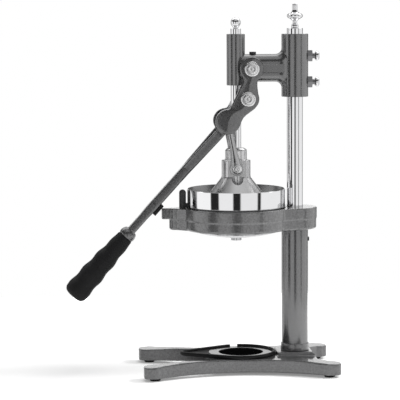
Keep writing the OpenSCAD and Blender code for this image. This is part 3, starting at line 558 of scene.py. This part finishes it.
# %% Head casting
arm_z, arm_half, arm_deep, saddle = 425.6, 19.25, 12.0, 9.5
sleeve_r, sleeve_top = 18.7, 473
arm_rings = []
for t in np.concatenate([np.linspace(-6, 0, 7), np.linspace(0.08, 1, 16)]):
    flare = 1 - math.sqrt(max(0, 1 - max(t, 0)**2))
    half, deep = arm_half + saddle*flare, arm_deep + 2.6*flare
    ring = []
    for k in range(72):
        a = 2*math.pi*(k + 0.5)/72
        u, v = math.cos(a), math.sin(a)
        y = deep*u
        on_sleeve = column_x - math.sqrt(sleeve_r**2 - y*y) + 0.35
        x = max(on_sleeve - saddle + t*saddle, 2)
        ring.append((x, y, arm_z + deep*v + math.copysign(half - deep, v)))
    arm_rings.append(ring)
guide_sleeve = rounded([(8.5, 401.6), (12.8, 401.6), (12.8, sleeve_top), (8.5, sleeve_top)], 0.9)
guide_sleeve = [(0, 401.6)] + guide_sleeve + [(0, sleeve_top)]
column_sleeve = rounded([(11.3, 385.3), (sleeve_r, 385.3), (sleeve_r, sleeve_top), (11.3, sleeve_top)], 0.9)
column_sleeve = [(0, 385.3)] + column_sleeve + [(0, sleeve_top)]
panel_edge = [(-0.3, 5.6), (0.75, 4.7), (0.75, -6), (-0.3, -7)]
panel = [(-1, out, z) for out, z in panel_edge] + [(1, out, z) for out, z in panel_edge[::-1]]
panel_rings = [[(x, side*(arm_deep + out), arm_z + z) for side, out, z in panel] for x in (15, 60, 66.8)]
head_arm = join("head_arm", [lofted(arm_rings), lofted(panel_rings)], enamel, 40)
head_sleeves = join("head_sleeves", [turned_skin(guide_sleeve), turned_skin(column_sleeve, (column_x, 0, 0))],
                    enamel, 30)
stands_for(head_arm, "stand", "gloss_paint", "head_casting")
stands_for(head_sleeves, "stand", "gloss_paint", "head_casting")
print("head made")

# %% [markdown]
# ## Post tube and its collar
# The tube that carries the ring is thick-walled, enamelled smooth, and stands in a short collar.
# Both are round, so turning them is enough, and their ends get the small bevel of a sawn tube.

# %% Tube and collar
tube_side = rounded([(0, 26.6), (18.6, 26.6), (18.6, 199.9), (0, 199.9)], 0.5)
tube = turned("post_tube_enamelled", tube_side, enamel, (column_x, 0, 0))
stands_for(tube, "stand", "gloss_paint", "post_tube")
post_collar_side = rounded([(0, 26.6), (19.9, 26.6), (19.9, 36.9), (18.4, 37), (0, 37)], 1.0)
# The collar wears the base's darker copy of the enamel, which is painted shade.
collar = turned("post_collar_enamelled", post_collar_side, base_hammer_shaded, (column_x, 0, 0))
stands_for(collar, "stand", "gloss_paint", "post_collar")
print("tube made")

# %% [markdown]
# ## The lever
# The lever is one forked casting. Each cheek is a crowned plate that follows the line from the
# fulcrum past the cheek bolt to the link's pivot. Its two edges were drawn as points, and a loft
# across them gives the ridge. The bar starts as two arms and becomes one.

# %% The lever's lines and its bar
slope = math.radians(47.8)
fulcrum, cheek_bolt, link_top, link_foot = (20.2, 424.9), (14.9, 383.2), (-13.0, 351.7), (0.0, 285.8)
down_bar = np.array([-math.cos(slope), -math.sin(slope)])
over_bar = np.array([-math.sin(slope), math.cos(slope)])
bar_line = np.array(link_top) - 2.4*over_bar
cheek_edge, cheek_back, crown_top = 22.0, 15.3, 25.0


def bar_ring(s, low, high, half=6.65, power=5.0, count=48):
    """A soft-cornered section across the bar, s down from the link pivot, low to high in Y."""
    centre = bar_line + s*down_bar
    ring = []
    for k in range(count):
        a = 2*math.pi*k/count
        c, n = math.cos(a), math.sin(a)
        u = math.copysign(abs(c)**(2/power), c)
        v = math.copysign(abs(n)**(2/power), n)
        p = centre + over_bar*half*v
        ring.append((p[0], (low + high)/2 + (high - low)/2*u, p[1]))
    return ring


def arm_skin(side):
    rings = []
    for s in np.linspace(2, 100, 26):
        t = min(max((s - 20)/68, 0), 1)
        outer = (22.6 - 0.4)*(1 - t) + 8.5*t
        closing = min(max((s - 20)/56, 0), 1)
        inner = max(15.7*(1 - closing) + 4.0*closing - max(0, s - 76)*0.6, -4)
        low, high = sorted((side*inner, side*outer))
        rings.append(bar_ring(s, low, high))
    return lofted(rings)


print("bar runs from", [round(float(v), 1) for v in bar_line], "down at", round(math.degrees(slope), 1), "degrees")

# %% [markdown]
# A cheek is two edges with a crown between them. The edges were read off as points and arcs, and
# rings across the plate, evenly spaced along both edges, give the crown and the bevel at each edge.

# %% The cheeks


def round_edge(points, centre, radius, start, end, steps=10):
    """Adds an arc about centre, angles in degrees in the X-Z plane."""
    for k in range(steps + 1):
        a = math.radians(start + (end - start)*k/steps)
        points.append((centre[0] + radius*math.cos(a), centre[1] + radius*math.sin(a)))


left_side, right_side = [], []
round_edge(left_side, fulcrum, 16.7, 90, 206, 12)
left_side += [(8.6, 411.5), (9.0, 409), (4.6, 400), (-0.2, 390), (-5.0, 380.4), (-9.2, 371.6), (-12.5, 369.0)]
round_edge(left_side, link_top, 17.4, 92, 262, 14)
round_edge(right_side, fulcrum, 16.7, 90, -52, 12)
right_side += [(28.2, 407.5), (28.0, 402), (28.4, 397.6)]
round_edge(right_side, cheek_bolt, 15.9, 24, -46, 8)
right_side += [(24.2, 369.6), (18.6, 365.4), (13.0, 361.4), (8.4, 356.9), (5.6, 351.6), (3.8, 346.4)]
round_edge(right_side, link_top, 17.4, -22, -98, 8)


def even(points, count):
    """The same line with evenly spaced points."""
    points = np.array(points, float)
    run = np.concatenate([[0], np.cumsum(np.linalg.norm(np.diff(points, axis=0), axis=1))])
    at = np.linspace(0, run[-1], count)
    return np.stack([np.interp(at, run, points[:, i]) for i in range(2)], 1)


def cheek_skin(side, count=72):
    left, right = even(left_side, count), even(right_side, count)
    rings = []
    for l, r in zip(left, right):
        gap = np.linalg.norm(l - r)
        bevel = min(1.8, gap*0.3)
        unit = (r - l)/max(gap, 1e-6)
        crown = (crown_top - cheek_edge - 1.4)*min(1, gap/26)
        line = [(l, cheek_back), (l, cheek_edge - 0.6),
                (l + unit*bevel*0.35, cheek_edge + 0.9), (l + unit*bevel, cheek_edge + 1.4)]
        for t in (0.25, 0.42, 0.5, 0.58, 0.75):
            line.append((l + (r - l)*t, cheek_edge + 1.4 + crown*(1 - abs(2*t - 1)**1.15)))
        line += [(r - unit*bevel, cheek_edge + 1.4), (r - unit*bevel*0.35, cheek_edge + 0.9),
                 (r, cheek_edge - 0.6), (r, cheek_back)]
        rings.append([(p[0], side*y, p[1]) for p, y in line])
    return lofted(rings)


print("cheek edges have", len(left_side), "and", len(right_side), "points")

# %% [markdown]
# The parts overlap, and one voxel remesh melts them into a single skin with soft inner corners.
# The collar before the grip is turned round the bar's own line.

# %% Lever casting
collar_side = [(0, 0), (6, 0), (9, 1.5), (10.8, 4.5), (11.6, 7.5), (11.6, 11), (10.6, 13), (0, 13)]


def along_bar(profile, start, around=96):
    """Spins a side view round the bar's line."""
    rings = []
    for radius, s in profile:
        centre = bar_line + (start + s)*down_bar
        ring = []
        for k in range(around):
            a = 2*math.pi*k/around
            p = centre + over_bar*max(radius, 0.001)*math.sin(a)
            ring.append((p[0], max(radius, 0.001)*math.cos(a), p[1]))
        rings.append(ring)
    return lofted(rings)


bar_skin = lofted([bar_ring(s, -8.5, 8.5, float(np.interp(s, [0, 162, 176, 204], [6.65, 6.65, 5.9, 5.9])))
                   for s in np.linspace(84, 204, 31)])
boss_side = [(0, 15.3), (16.4, 15.3), (16.7, 22.6), (15.6, 24.0), (10, 24.4), (0, 24.4)]
bosses = [turned_skin([(r, side*y) for r, y in boss_side], (fulcrum[0], 0, fulcrum[1]), "Y", 72)
          for side in (-1, 1)]
# The lever wears the darker copy of the enamel, which is painted shade.
lever = join("lever_casting", [cheek_skin(-1), cheek_skin(1), arm_skin(-1), arm_skin(1), bar_skin,
                               along_bar(collar_side, 202)] + bosses, lever_hammer_shaded)
cast(lever, 0.7, 3)
stands_for(lever, "lever", "hammer_paint", "lever")

# %% [markdown]
# ## The grip
# The grip is a rubber sleeve with shallow finger waves. It could be sculpted, but it is round
# everywhere, so a side view with a sine on its radius gives the waves exactly.

# %% Grip
grip_side = [(0, 0), (10.4, 0), (11.3, 1)]
for k in range(1, 60):
    t = k/62
    swell = 11.4 + 5.0*math.sin(math.radians(min(1, t*1.15)*90))
    wave = 0.8*math.sin(math.radians(t*4*360 - 90))*min(1, 4*t)
    grip_side.append((swell + wave, 111*t))
grip_side += [(15.6, 106.0), (15.1, 107.0), (14.0, 108.4), (12.5, 109.6), (9.2, 110.7), (0, 110.85)]
points, faces = along_bar(grip_side, 215)
grip = mesh_object("grip_sleeve", points, faces, rubber, 60)
stands_for(grip, "lever", "black_rubber", "grip")
print("grip made")

# %% [markdown]
# ## The press body
# The press body is an aluminium casting: a hub, a drum with two milled flats for the links and a
# bell. The real one is cast, bored and milled. Here it is turned and then cut in the same order.

# %% Presser
press_side = rounded([(0, 314.3), (11.6, 314.3), (15.2, 311.5), (15.2, 297.5), (20.2, 297.5), (20.2, 273.5),
                      (61, 220), (61, 216.2), (56, 216.2), (55, 221), (40, 233), (27, 245), (16, 254), (0, 257)],
                     1.6, 4)
presser = turned("press_casting", press_side, aluminium, smooth=35)
blocks = []
for side in (-1, 1):
    y0, y1 = sorted((side*15.3, side*60))
    corners = [(x, y, z) for x in (-30, 30) for y in (y0, y1) for z in (274, 299)]
    sides = [(0, 1, 3, 2), (4, 6, 7, 5), (0, 4, 5, 1), (2, 3, 7, 6), (0, 2, 6, 4), (1, 5, 7, 3)]
    blocks.append(mesh_object("block", corners, sides, aluminium))
    blocks.append(turned("scoop", [(0, 263.4), (8, 263.4), (8, 275), (0, 275)], aluminium, (0, side*19.5, 0),
                         around=48))
cut(presser, blocks)
stands_for(presser, "press", "cast_aluminium", "presser")
print("presser made")

# %% [markdown]
# ## The links
# Each link is a forged bar: narrow near its upper pivot and wide at the eye. A loft of soft oval
# sections from pivot to pivot gives it a rounded face, and a turned eye with a groove ends it.

# %% Links
width_at, half_widths = [0, 8, 20, 34, 44, 54, 60, 68], [6.2, 4.8, 4.1, 4.1, 4.7, 6.2, 7.4, 8.0]
eye_side = [(0, 15.7), (9.0, 15.7), (9.7, 16.4), (9.7, 19.6), (9.25, 20.95), (8.9, 20.95), (8.4, 19.9), (8.1, 19.9),
            (7.6, 20.95), (7.3, 20.95), (6.8, 19.9), (0, 19.9)]
top_side = [(0, 15.7), (6.8, 15.7), (7.5, 16.6), (7.5, 19.8), (6.6, 20.8), (0, 20.9)]
for side, body in ((-1, "link_front"), (1, "link_rear")):
    start, end = np.array(link_top), np.array(link_foot)
    run = np.linalg.norm(end - start)
    down = (end - start)/run
    sideways = np.array([-down[1], down[0]])
    bar_rings = []
    for s_at in np.linspace(-1, run, 30):
        half = float(np.interp(s_at, width_at, half_widths))
        centre = start + s_at*down
        ring = []
        for k in range(40):
            a = 2*math.pi*k/40
            u = math.copysign(abs(math.cos(a))**0.8, math.cos(a))
            v = math.copysign(abs(math.sin(a))**0.8, math.sin(a))
            p = centre + sideways*half*v
            ring.append((p[0], side*18.3 + 2.65*u, p[1]))
        bar_rings.append(ring)
    upper_eye = turned_skin([(r, side*y) for r, y in top_side], (link_top[0], 0, link_top[1]), "Y", 72)
    eye = turned(body + "_eye", [(r, side*y) for r, y in eye_side], eye_metal, (link_foot[0], 0, link_foot[1]),
                 "Y", 96, 25)
    stands_for(eye, body, "cast_aluminium", body)
    link = join(body + "_forged", [lofted(bar_rings), upper_eye], link_metal)
    cast(link, 0.5, 3)
    stands_for(link, body, "cast_aluminium", body)

# %% [markdown]
# ## Bolt caps
# Each pivot ends in a bright flanged cap with turned rings. One cap is made for the lever and one
# for the links, and the repeating rule sets them in place, as identical bolts come from one box.

# %% Caps and shanks
cap_side = [(0, 0), (10.3, 0), (10.5, 0.3), (10.5, 1.2), (10.0, 2.0), (9.1, 2.45), (8.4, 2.45), (8.15, 1.95),
            (7.6, 1.95), (7.3, 2.5), (6.1, 2.6), (5.85, 3.1), (5.5, 3.7), (4.9, 3.85), (4.1, 3.7), (3.6, 3.1),
            (2.9, 3.05), (2.5, 3.45), (1.2, 3.5), (0.9, 2.9), (0, 2.9)]
cap = turned("cap", cap_side, bolt_metal, (-guide_x, 0, 0), around=72, smooth=25)
cap_places = [(fulcrum[0], -25.0, fulcrum[1]), (cheek_bolt[0], -25.0, cheek_bolt[1]),
              (cheek_bolt[0], 25.0, cheek_bolt[1])]
lever_caps = repeated("lever_bolt_caps", cap, cap_places, [(0, -1, 0), (0, -1, 0), (0, 1, 0)], bolt_metal, 3)
stands_for(lever_caps, "lever", "steel", "fulcrum_bolt", "cheek_bolts")
shanks = join("lever_bolt_shanks", [
    turned_skin([(0, -25.5), (5, -25.5), (5, 30.2), (4.4, 31), (0, 31)], (fulcrum[0], 0, fulcrum[1]), "Y", 48),
    turned_skin([(0, -25.5), (4, -25.5), (4, -13.4), (0, -13.4)], (cheek_bolt[0], 0, cheek_bolt[1]), "Y", 48),
    turned_skin([(0, 13.4), (4, 13.4), (4, 25.5), (0, 25.5)], (cheek_bolt[0], 0, cheek_bolt[1]), "Y", 48)],
    bolt_metal, 30)
stands_for(shanks, "lever", "steel", "fulcrum_bolt")
foot_side = [(r*0.63, z*0.74) for r, z in cap_side]
foot_cap = turned("foot_cap", foot_side, bolt_metal, (-guide_x, 0, 0), around=60, smooth=25)
link_caps = repeated("link_bolt_caps", foot_cap, [(0, -21.3, link_foot[1]), (0, 21.3, link_foot[1])],
                     [(0, -1, 0), (0, 1, 0)], bolt_metal, 5)
stands_for(link_caps, "press", "steel", "link_bolts")
link_shanks = join("link_bolt_shanks", [
    turned_skin([(0, side*6.5), (4, side*6.5), (4, side*21.6), (0, side*21.6)], (0, 0, link_foot[1]), "Y", 48)
    for side in (-1, 1)], bolt_metal, 30)
stands_for(link_shanks, "press", "steel", "link_bolts")

# %% [markdown]
# ## The cup
# The cup is spun steel, open in the middle. Its band is chromed and mirrors the studio, so it must be exactly round.
# The bowl inside it and the cone below it are only brushed, so they are a piece of their own, and the bowl's metal
# is also made much darker, as painted shade inside the cup.

# %% Cup


def hoop(name, profile, material, smooth, around=160):
    """Turned work with an open middle: its side view closes on itself, and the end discs are left out."""
    points, faces = turned_skin(profile, around=around)
    return mesh_object(name, points, faces[:-2], material, smooth)


band_side = [(67.8, 204.3), (67.9, 204.3), (67.9, 230.4), (68.35, 231.6), (68.7, 232.6), (68.8, 233.6),
             (68.8, 256.4), (68.5, 256.85), (68.0, 256.9), (67.8, 204.3)]
band = hoop("cup_band_chromed", band_side, chrome, 25, 180)
stands_for(band, "cup", "chrome", "funnel")
bowl_side = [(67.9, 204.4), (68.3, 256.7), (68.0, 257), (67.5, 256.9), (67.3, 256.5), (67.3, 206.6), (66.5, 205.8),
             (59.0, 205.8), (58.2, 205.2), (58.2, 204.4), (67.9, 204.4)]
# The bowl wears the darkened metal, which is painted shade inside the cup.
bowl = hoop("cup_wall_brushed", bowl_side, shaded_bowl_metal, 35)
stands_for(bowl, "cup", "chrome", "funnel")
cone_side = [(58.2, 204.3), (58.2, 198.5), (46, 195.2), (25, 191.6), (7.0, 190.0), (5.8, 189.4), (5.8, 184.2),
             (7.3, 184.2), (7.3, 188.2), (8.2, 188.9), (25, 190.1), (46, 193.7), (59.0, 196.9), (59.7, 197.6),
             (59.7, 204.3), (58.2, 204.3)]
cone = hoop("cup_cone_brushed", cone_side, brushed, 35)
stands_for(cone, "cup", "chrome", "funnel")
print("cup made")

# %% [markdown]
# ## Ring and base castings
# Both were poured and then enamelled, so every corner is soft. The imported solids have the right
# forms with sharp corners, and a copy that is melted into one skin gets the soft ones.

# %% Ring and base
ring = recast("cup_ring", "cup_ring_enamelled", hammer, 0.9, 3)
stands_for(ring, "stand", "hammer_paint", "cup_ring")
# The base wears the darker copy of the enamel, which is painted shade.
base = recast("base_casting", "base_enamelled", base_hammer_shaded, 1.0, 4)
stands_for(base, "stand", "hammer_paint", "base_casting")

# %% [markdown]
# ## The drip tray
# A thin black tray with a raised rim that follows the outline of a drop, open at the back. The rim
# could be cut from a block, but it is one section swept along a path, which is a second node rule.

# %% A node tree that sweeps a section along a path
tree, given, result = new_rule("sweep_on_path", [("Path", "Geometry"), ("Width", "Float"), ("Height", "Float"),
                                                 ("Corner", "Float"), ("Finish", "Material")])
line = add(tree, "GeometryNodeMeshToCurve", None, {"Mesh": Wire(tree, given.outputs["Path"])})
upright = add(tree, "GeometryNodeSetCurveNormal", {"mode": "Z_UP"}, {"Curve": line})
section = add(tree, "GeometryNodeCurvePrimitiveQuadrilateral", None,
              {"Width": Wire(tree, given.outputs["Width"]), "Height": Wire(tree, given.outputs["Height"])})
soft_section = add(tree, "GeometryNodeFilletCurve", None,
                   {"Curve": section, "Radius": Wire(tree, given.outputs["Corner"])})
swept = add(tree, "GeometryNodeCurveToMesh", None,
            {"Curve": upright, "Profile Curve": soft_section, "Fill Caps": True})
real = add(tree, "GeometryNodeRealizeInstances", None, {"Geometry": swept})
coloured = add(tree, "GeometryNodeSetMaterial", None,
               {"Geometry": real, "Material": Wire(tree, given.outputs["Finish"])})
tree.links.new(coloured.socket, result.inputs["Geometry"])
sweep_rule = tree
print("sweep has", len(sweep_rule.nodes), "nodes")

# %% [markdown]
# A drop is two arcs joined by their tangents. Its points run from one side of the opening at the
# back round to the other, so the swept rim leaves the mouth open by itself.

# %% The tray's outline and rim
tray_x, tray_r, tail_x, tail_r, tray_z = 6.0, 49.0, -68.0, 12.0, 22.0
lean = math.asin((tray_r - tail_r)/(tray_x - tail_x))


def drop(inset, count=120, opening=0.0):
    """The tray's outline drawn in by inset; it starts and ends at the back, opening mm apart."""
    big, small = tray_r - inset, tail_r - inset
    mouth = math.pi/2 + 6.0/big
    points = []
    for a in np.linspace(mouth + math.asin(opening/2/big), math.pi/2 + lean, 12):
        points.append((tray_x + big*math.cos(a), big*math.sin(a)))
    for a in np.linspace(math.pi/2 + lean, 3*math.pi/2 - lean, 24):
        points.append((tail_x + small*math.cos(a), small*math.sin(a)))
    for a in np.linspace(-math.pi/2 - lean, mouth - math.asin(opening/2/big), count):
        points.append((tray_x + big*math.cos(a), big*math.sin(a)))
    return points


path = drop(2.0, opening=11.0)
path_mesh = bpy.data.meshes.new("tray_rim")
path_mesh.from_pydata(placed([(x, y, tray_z + 2.75) for x, y in path]),
                      [(i, i + 1) for i in range(len(path) - 1)], [])
rim = follow(shown("tray_rim", path_mesh), sweep_rule, Width=0.004, Height=0.0055, Corner=0.0011, Finish=plastic)
shade(rim.data, 50)
stands_for(rim, "tray", "black_plastic", "drip_tray")
rim_heights = [p.co.z*1000 for p in rim.data.vertices]
print("rim from", round(min(rim_heights), 1), "to", round(max(rim_heights), 1), "mm")

# %% [markdown]
# Inside the rim lie a floor, a polished shelf that mirrors the cup, and a well in the middle that is near black with
# no shine at all. They are pieces of their own, because their finishes differ.

# %% The tray's floor, shelf and well


def tray_side(*places):
    """A side view over the tray's underside."""
    return [(r, tray_z + z) for r, z in places]


floor_line = drop(3.0, opening=0.0)
floor_rings = [[(x, y, z) for x, y in floor_line] for z in (tray_z, tray_z + 2.4)]
tray_floor = join("tray_floor", [lofted(floor_rings)], plastic, 30)
shelf_side = tray_side((31.2, 0.8), (45.4, 0.8), (45.4, 2.7), (45.1, 3), (31.6, 3), (31.2, 2.6), (31.2, 0.8))
shelf = turned("tray_shelf", shelf_side, wet_plastic, (tray_x, 0, 0), around=160)
stands_for(shelf, "tray", "black_plastic", "drip_tray")
well = turned("well_cutter", tray_side((0, 1.2), (31, 1.2), (31.2, 4), (0, 4)), plastic, (tray_x, 0, 0))
cut(tray_floor, [well])
stands_for(tray_floor, "tray", "black_plastic", "drip_tray")
well_side = rounded(tray_side((0, 0.9), (30.9, 0.9), (30.9, 1.5), (26, 1.7), (0, 1.4)), 0.3)
well_mat = turned("tray_well", well_side, well_plastic, (tray_x, 0, 0))
stands_for(well_mat, "tray", "black_plastic", "drip_tray")
print("tray floor, shelf and well made")

# %% [markdown]
# ## The clamp screws
# The two thumb screws that clamp the head are turned and chromed, each with a waisted neck that is given the dark
# nut finish as painted shade. They turn on their own, so each is made by itself for its own body, and not by the
# repeating rule.

# %% Clamp screws
knob_side = [(0, 94.3), (3.9, 94.3), (3.9, 107), (3.6, 107.6), (3.5, 110.4), (4.2, 111.2), (5.6, 111.7),
             (6.5, 112.8), (6.6, 114.4), (6.0, 116), (4.6, 117.2), (0, 117.9)]
neck_side = [(0, 100), (4, 100), (4, 107.6), (3.7, 108), (3.7, 110.8), (4.2, 111.3), (0, 111.4)]
for name, z in (("clamp_screw_upper", 442.2), ("clamp_screw_lower", 405.8)):
    knob = turned(name + "_turned", rounded(knob_side, 0.8), knob_metal, (0, 0, z), "X", 60, 50)
    stands_for(knob, name, "chrome", name)
    # The neck wears the dark nut metal: painted shade in the gap between nut and knob.
    neck = turned(name + "_neck", neck_side, nut_metal, (0, 0, z), "X", 48, 30)
    stands_for(neck, name, "chrome", name)
print("clamp screws made")

# %% [markdown]
# ## Studio
# A plain pale floor that keeps the press's shadow. It glows a little to the camera alone, and more
# so further out, so that it fades into the white behind without more light on the press.

# %% Floor
floor_mesh = bpy.data.meshes.new("studio_floor")
floor_mesh.from_pydata([(-0.6, -0.5, 0), (0.55, -0.5, 0), (0.55, 0.7, 0), (-0.6, 0.7, 0)], [], [(0, 1, 2, 3)])
floor = shown("studio_floor", floor_mesh)
floor_paint, tree, shader = finish("studio_white", specular=0.2)
shader.inputs["Base Color"].default_value = (0.82, 0.82, 0.82, 1)
shader.inputs["Roughness"].default_value = 0.9
seen = add(tree, "ShaderNodeLightPath", out=0)
shader.inputs["Emission Strength"].default_value = 1
spot = add(tree, "ShaderNodeTexCoord", out=3)
flat = add(tree, "ShaderNodeVectorMath", {"operation": "LENGTH"}, {0: spot}, out=1)
fade = add(tree, "ShaderNodeMapRange", {"interpolation_type": "SMOOTHSTEP"}, {0: flat, 1: 0.3, 2: 0.5})
feed(tree, shader, Emission_Color=seen*(0.24 + fade*0.8))
floor.data.materials.append(floor_paint)
print("floor made")

# %% [markdown]
# The world is pure white to the camera and lights the press softly. Chrome and enamel show what
# stands round them, so mirrors see white walls with dark flags, as in a photographer's studio. A
# picture of a studio could do this, but a ramp over the compass angle needs no image.

# %% Directions and the walls that mirrors see
world = bpy.data.worlds.new("studio")
bpy.context.scene.world = world
world.use_nodes = True
tree = world.node_tree
tree.nodes.clear()
way = add(tree, "ShaderNodeTexCoord", out=0)
split_x = add(tree, "ShaderNodeSeparateXYZ", None, {0: way}, out=0)
split_y = add(tree, "ShaderNodeSeparateXYZ", None, {0: way}, out=1)
split_z = add(tree, "ShaderNodeSeparateXYZ", None, {0: way}, out=2)
ahead = split_x*math.sin(camera_turn) - split_y*math.cos(camera_turn)
aside = split_x*math.cos(camera_turn) + split_y*math.sin(camera_turn)
to_degrees = 180/math.pi
turn = add(tree, "ShaderNodeMath", {"operation": "ARCTAN2"}, {0: aside, 1: ahead})*to_degrees
lift = add(tree, "ShaderNodeMath", {"operation": "ARCSINE"}, {0: split_z})*to_degrees
away = add(tree, "ShaderNodeMath", {"operation": "ARCCOSINE"}, {0: 0.0 - ahead})*to_degrees
# each wall starts at an angle from the front, in degrees, and has a grey
walls = [(-180, 0.95), (-172, 0.3), (-146, 0.85), (-123, 0.28), (-105, 1.05), (-62, 0.02), (-41, 0.95), (-7, 0.02),
         (10.5, 0.9), (51.5, 0.02), (60, 0.94), (129, 0.12), (137, 0.6), (150, 0.25), (170, 0.9)]
stops = [(0.0, walls[0][1])]
for (angle, grey), (_, grey_before) in zip(walls[1:], walls):
    stops += [((angle - 1.2 + 180)/360, grey_before), ((angle + 1.2 + 180)/360, grey)]
stops.append((1.0, walls[-1][1]))
wall = add(tree, "ShaderNodeValToRGB", {"stops": stops}, {"Fac": turn/360 + 0.5})
print(len(walls), "walls round the press")

# %% [markdown]
# Above and below the walls there are a dark bar in front, a dark ring round the back, which draws
# the outline of a ball, and a bright wedge behind. Each is a band of angles with soft edges.

# %% Bars, ring and wedge


def ramp_up(value, low, high):
    """From 0 at low to 1 at high."""
    return add(tree, "ShaderNodeMapRange", {"interpolation_type": "SMOOTHSTEP"}, {0: value, 1: low, 2: high})


def band(value, low, high, edge):
    """1 between low and high, with soft edges."""
    return ramp_up(value, low - edge, low + edge)*(1.0 - ramp_up(value, high - edge, high + edge))


near_level = band(lift, -22, 17, 2)
front_bar = band(lift, 16, 46, 2)*band(turn, -100, 75, 4)
behind = (1.0 - band(turn, -164, 164, 1))*band(lift, 1, 13, 1)
back_ring = band(away, 10, 40, 2)*(1.0 - band(lift, -9, 1, 1))*(1.0 - behind)
overhead = 0.3 + ramp_up(turn, -95.0, -5.0)*0.4 + band(lift, 80, 100, 4)*0.4 + (away < 80)*band(lift, 34, 100, 3)*1.5
mirror_grey = wall*near_level + (0.8*band(lift, -100, 0, 3) + overhead*band(lift, 0, 100, 3))*(1.0 - near_level)
mirror_grey = mirror_grey*(1.0 - front_bar) + 0.03*front_bar
mirror_grey = mirror_grey*(1.0 - back_ring) + 0.12*back_ring
mirror_grey = mirror_grey*(1.0 - behind) + 1.25*behind
print("mirror studio has", len(tree.nodes), "nodes")

# %% [markdown]
# A ray knows what sent it. Camera rays get pure white, mirror rays get the studio above, and all
# others get a soft light that is a little stronger from above and from the right.

# %% What each kind of ray sees
path_camera = add(tree, "ShaderNodeLightPath", out=0)
path_glossy = add(tree, "ShaderNodeLightPath", out=3)
soft_light = 0.45 + split_z*0.3 + split_x*0.2
light = path_camera + (1.0 - path_camera)*(path_glossy*mirror_grey + (1.0 - path_glossy)*soft_light)
sky = add(tree, "ShaderNodeBackground", None, {"Color": light, "Strength": 1.0})
add(tree, "ShaderNodeOutputWorld", None, {"Surface": sky})
print("world made")

# %% [markdown]
# Two large soft lamps add direction: a key from the right, which draws the shadow to the left, and
# a weaker one from the top. Mirrors don't see them, so they leave no round spots on the chrome.

# %% Lamps


def soft_lamp(name, place, aim, size, power):
    lamp = bpy.data.lights.new(name, "AREA")
    lamp.shape = "DISK"
    lamp.size = size
    lamp.energy = power
    made = shown(name, lamp)
    made.location = place
    made.rotation_mode = "QUATERNION"
    made.rotation_quaternion = (Vector(aim) - Vector(place)).to_track_quat("-Z", "Y")
    made.visible_glossy = False


soft_lamp("key", (1.9, -0.1, 1.8), (0, 0, 0.15), 0.9, 48)
soft_lamp("top", (0.2, -0.2, 2.3), (0, 0, 0.2), 1.2, 12)
print("lamps made")
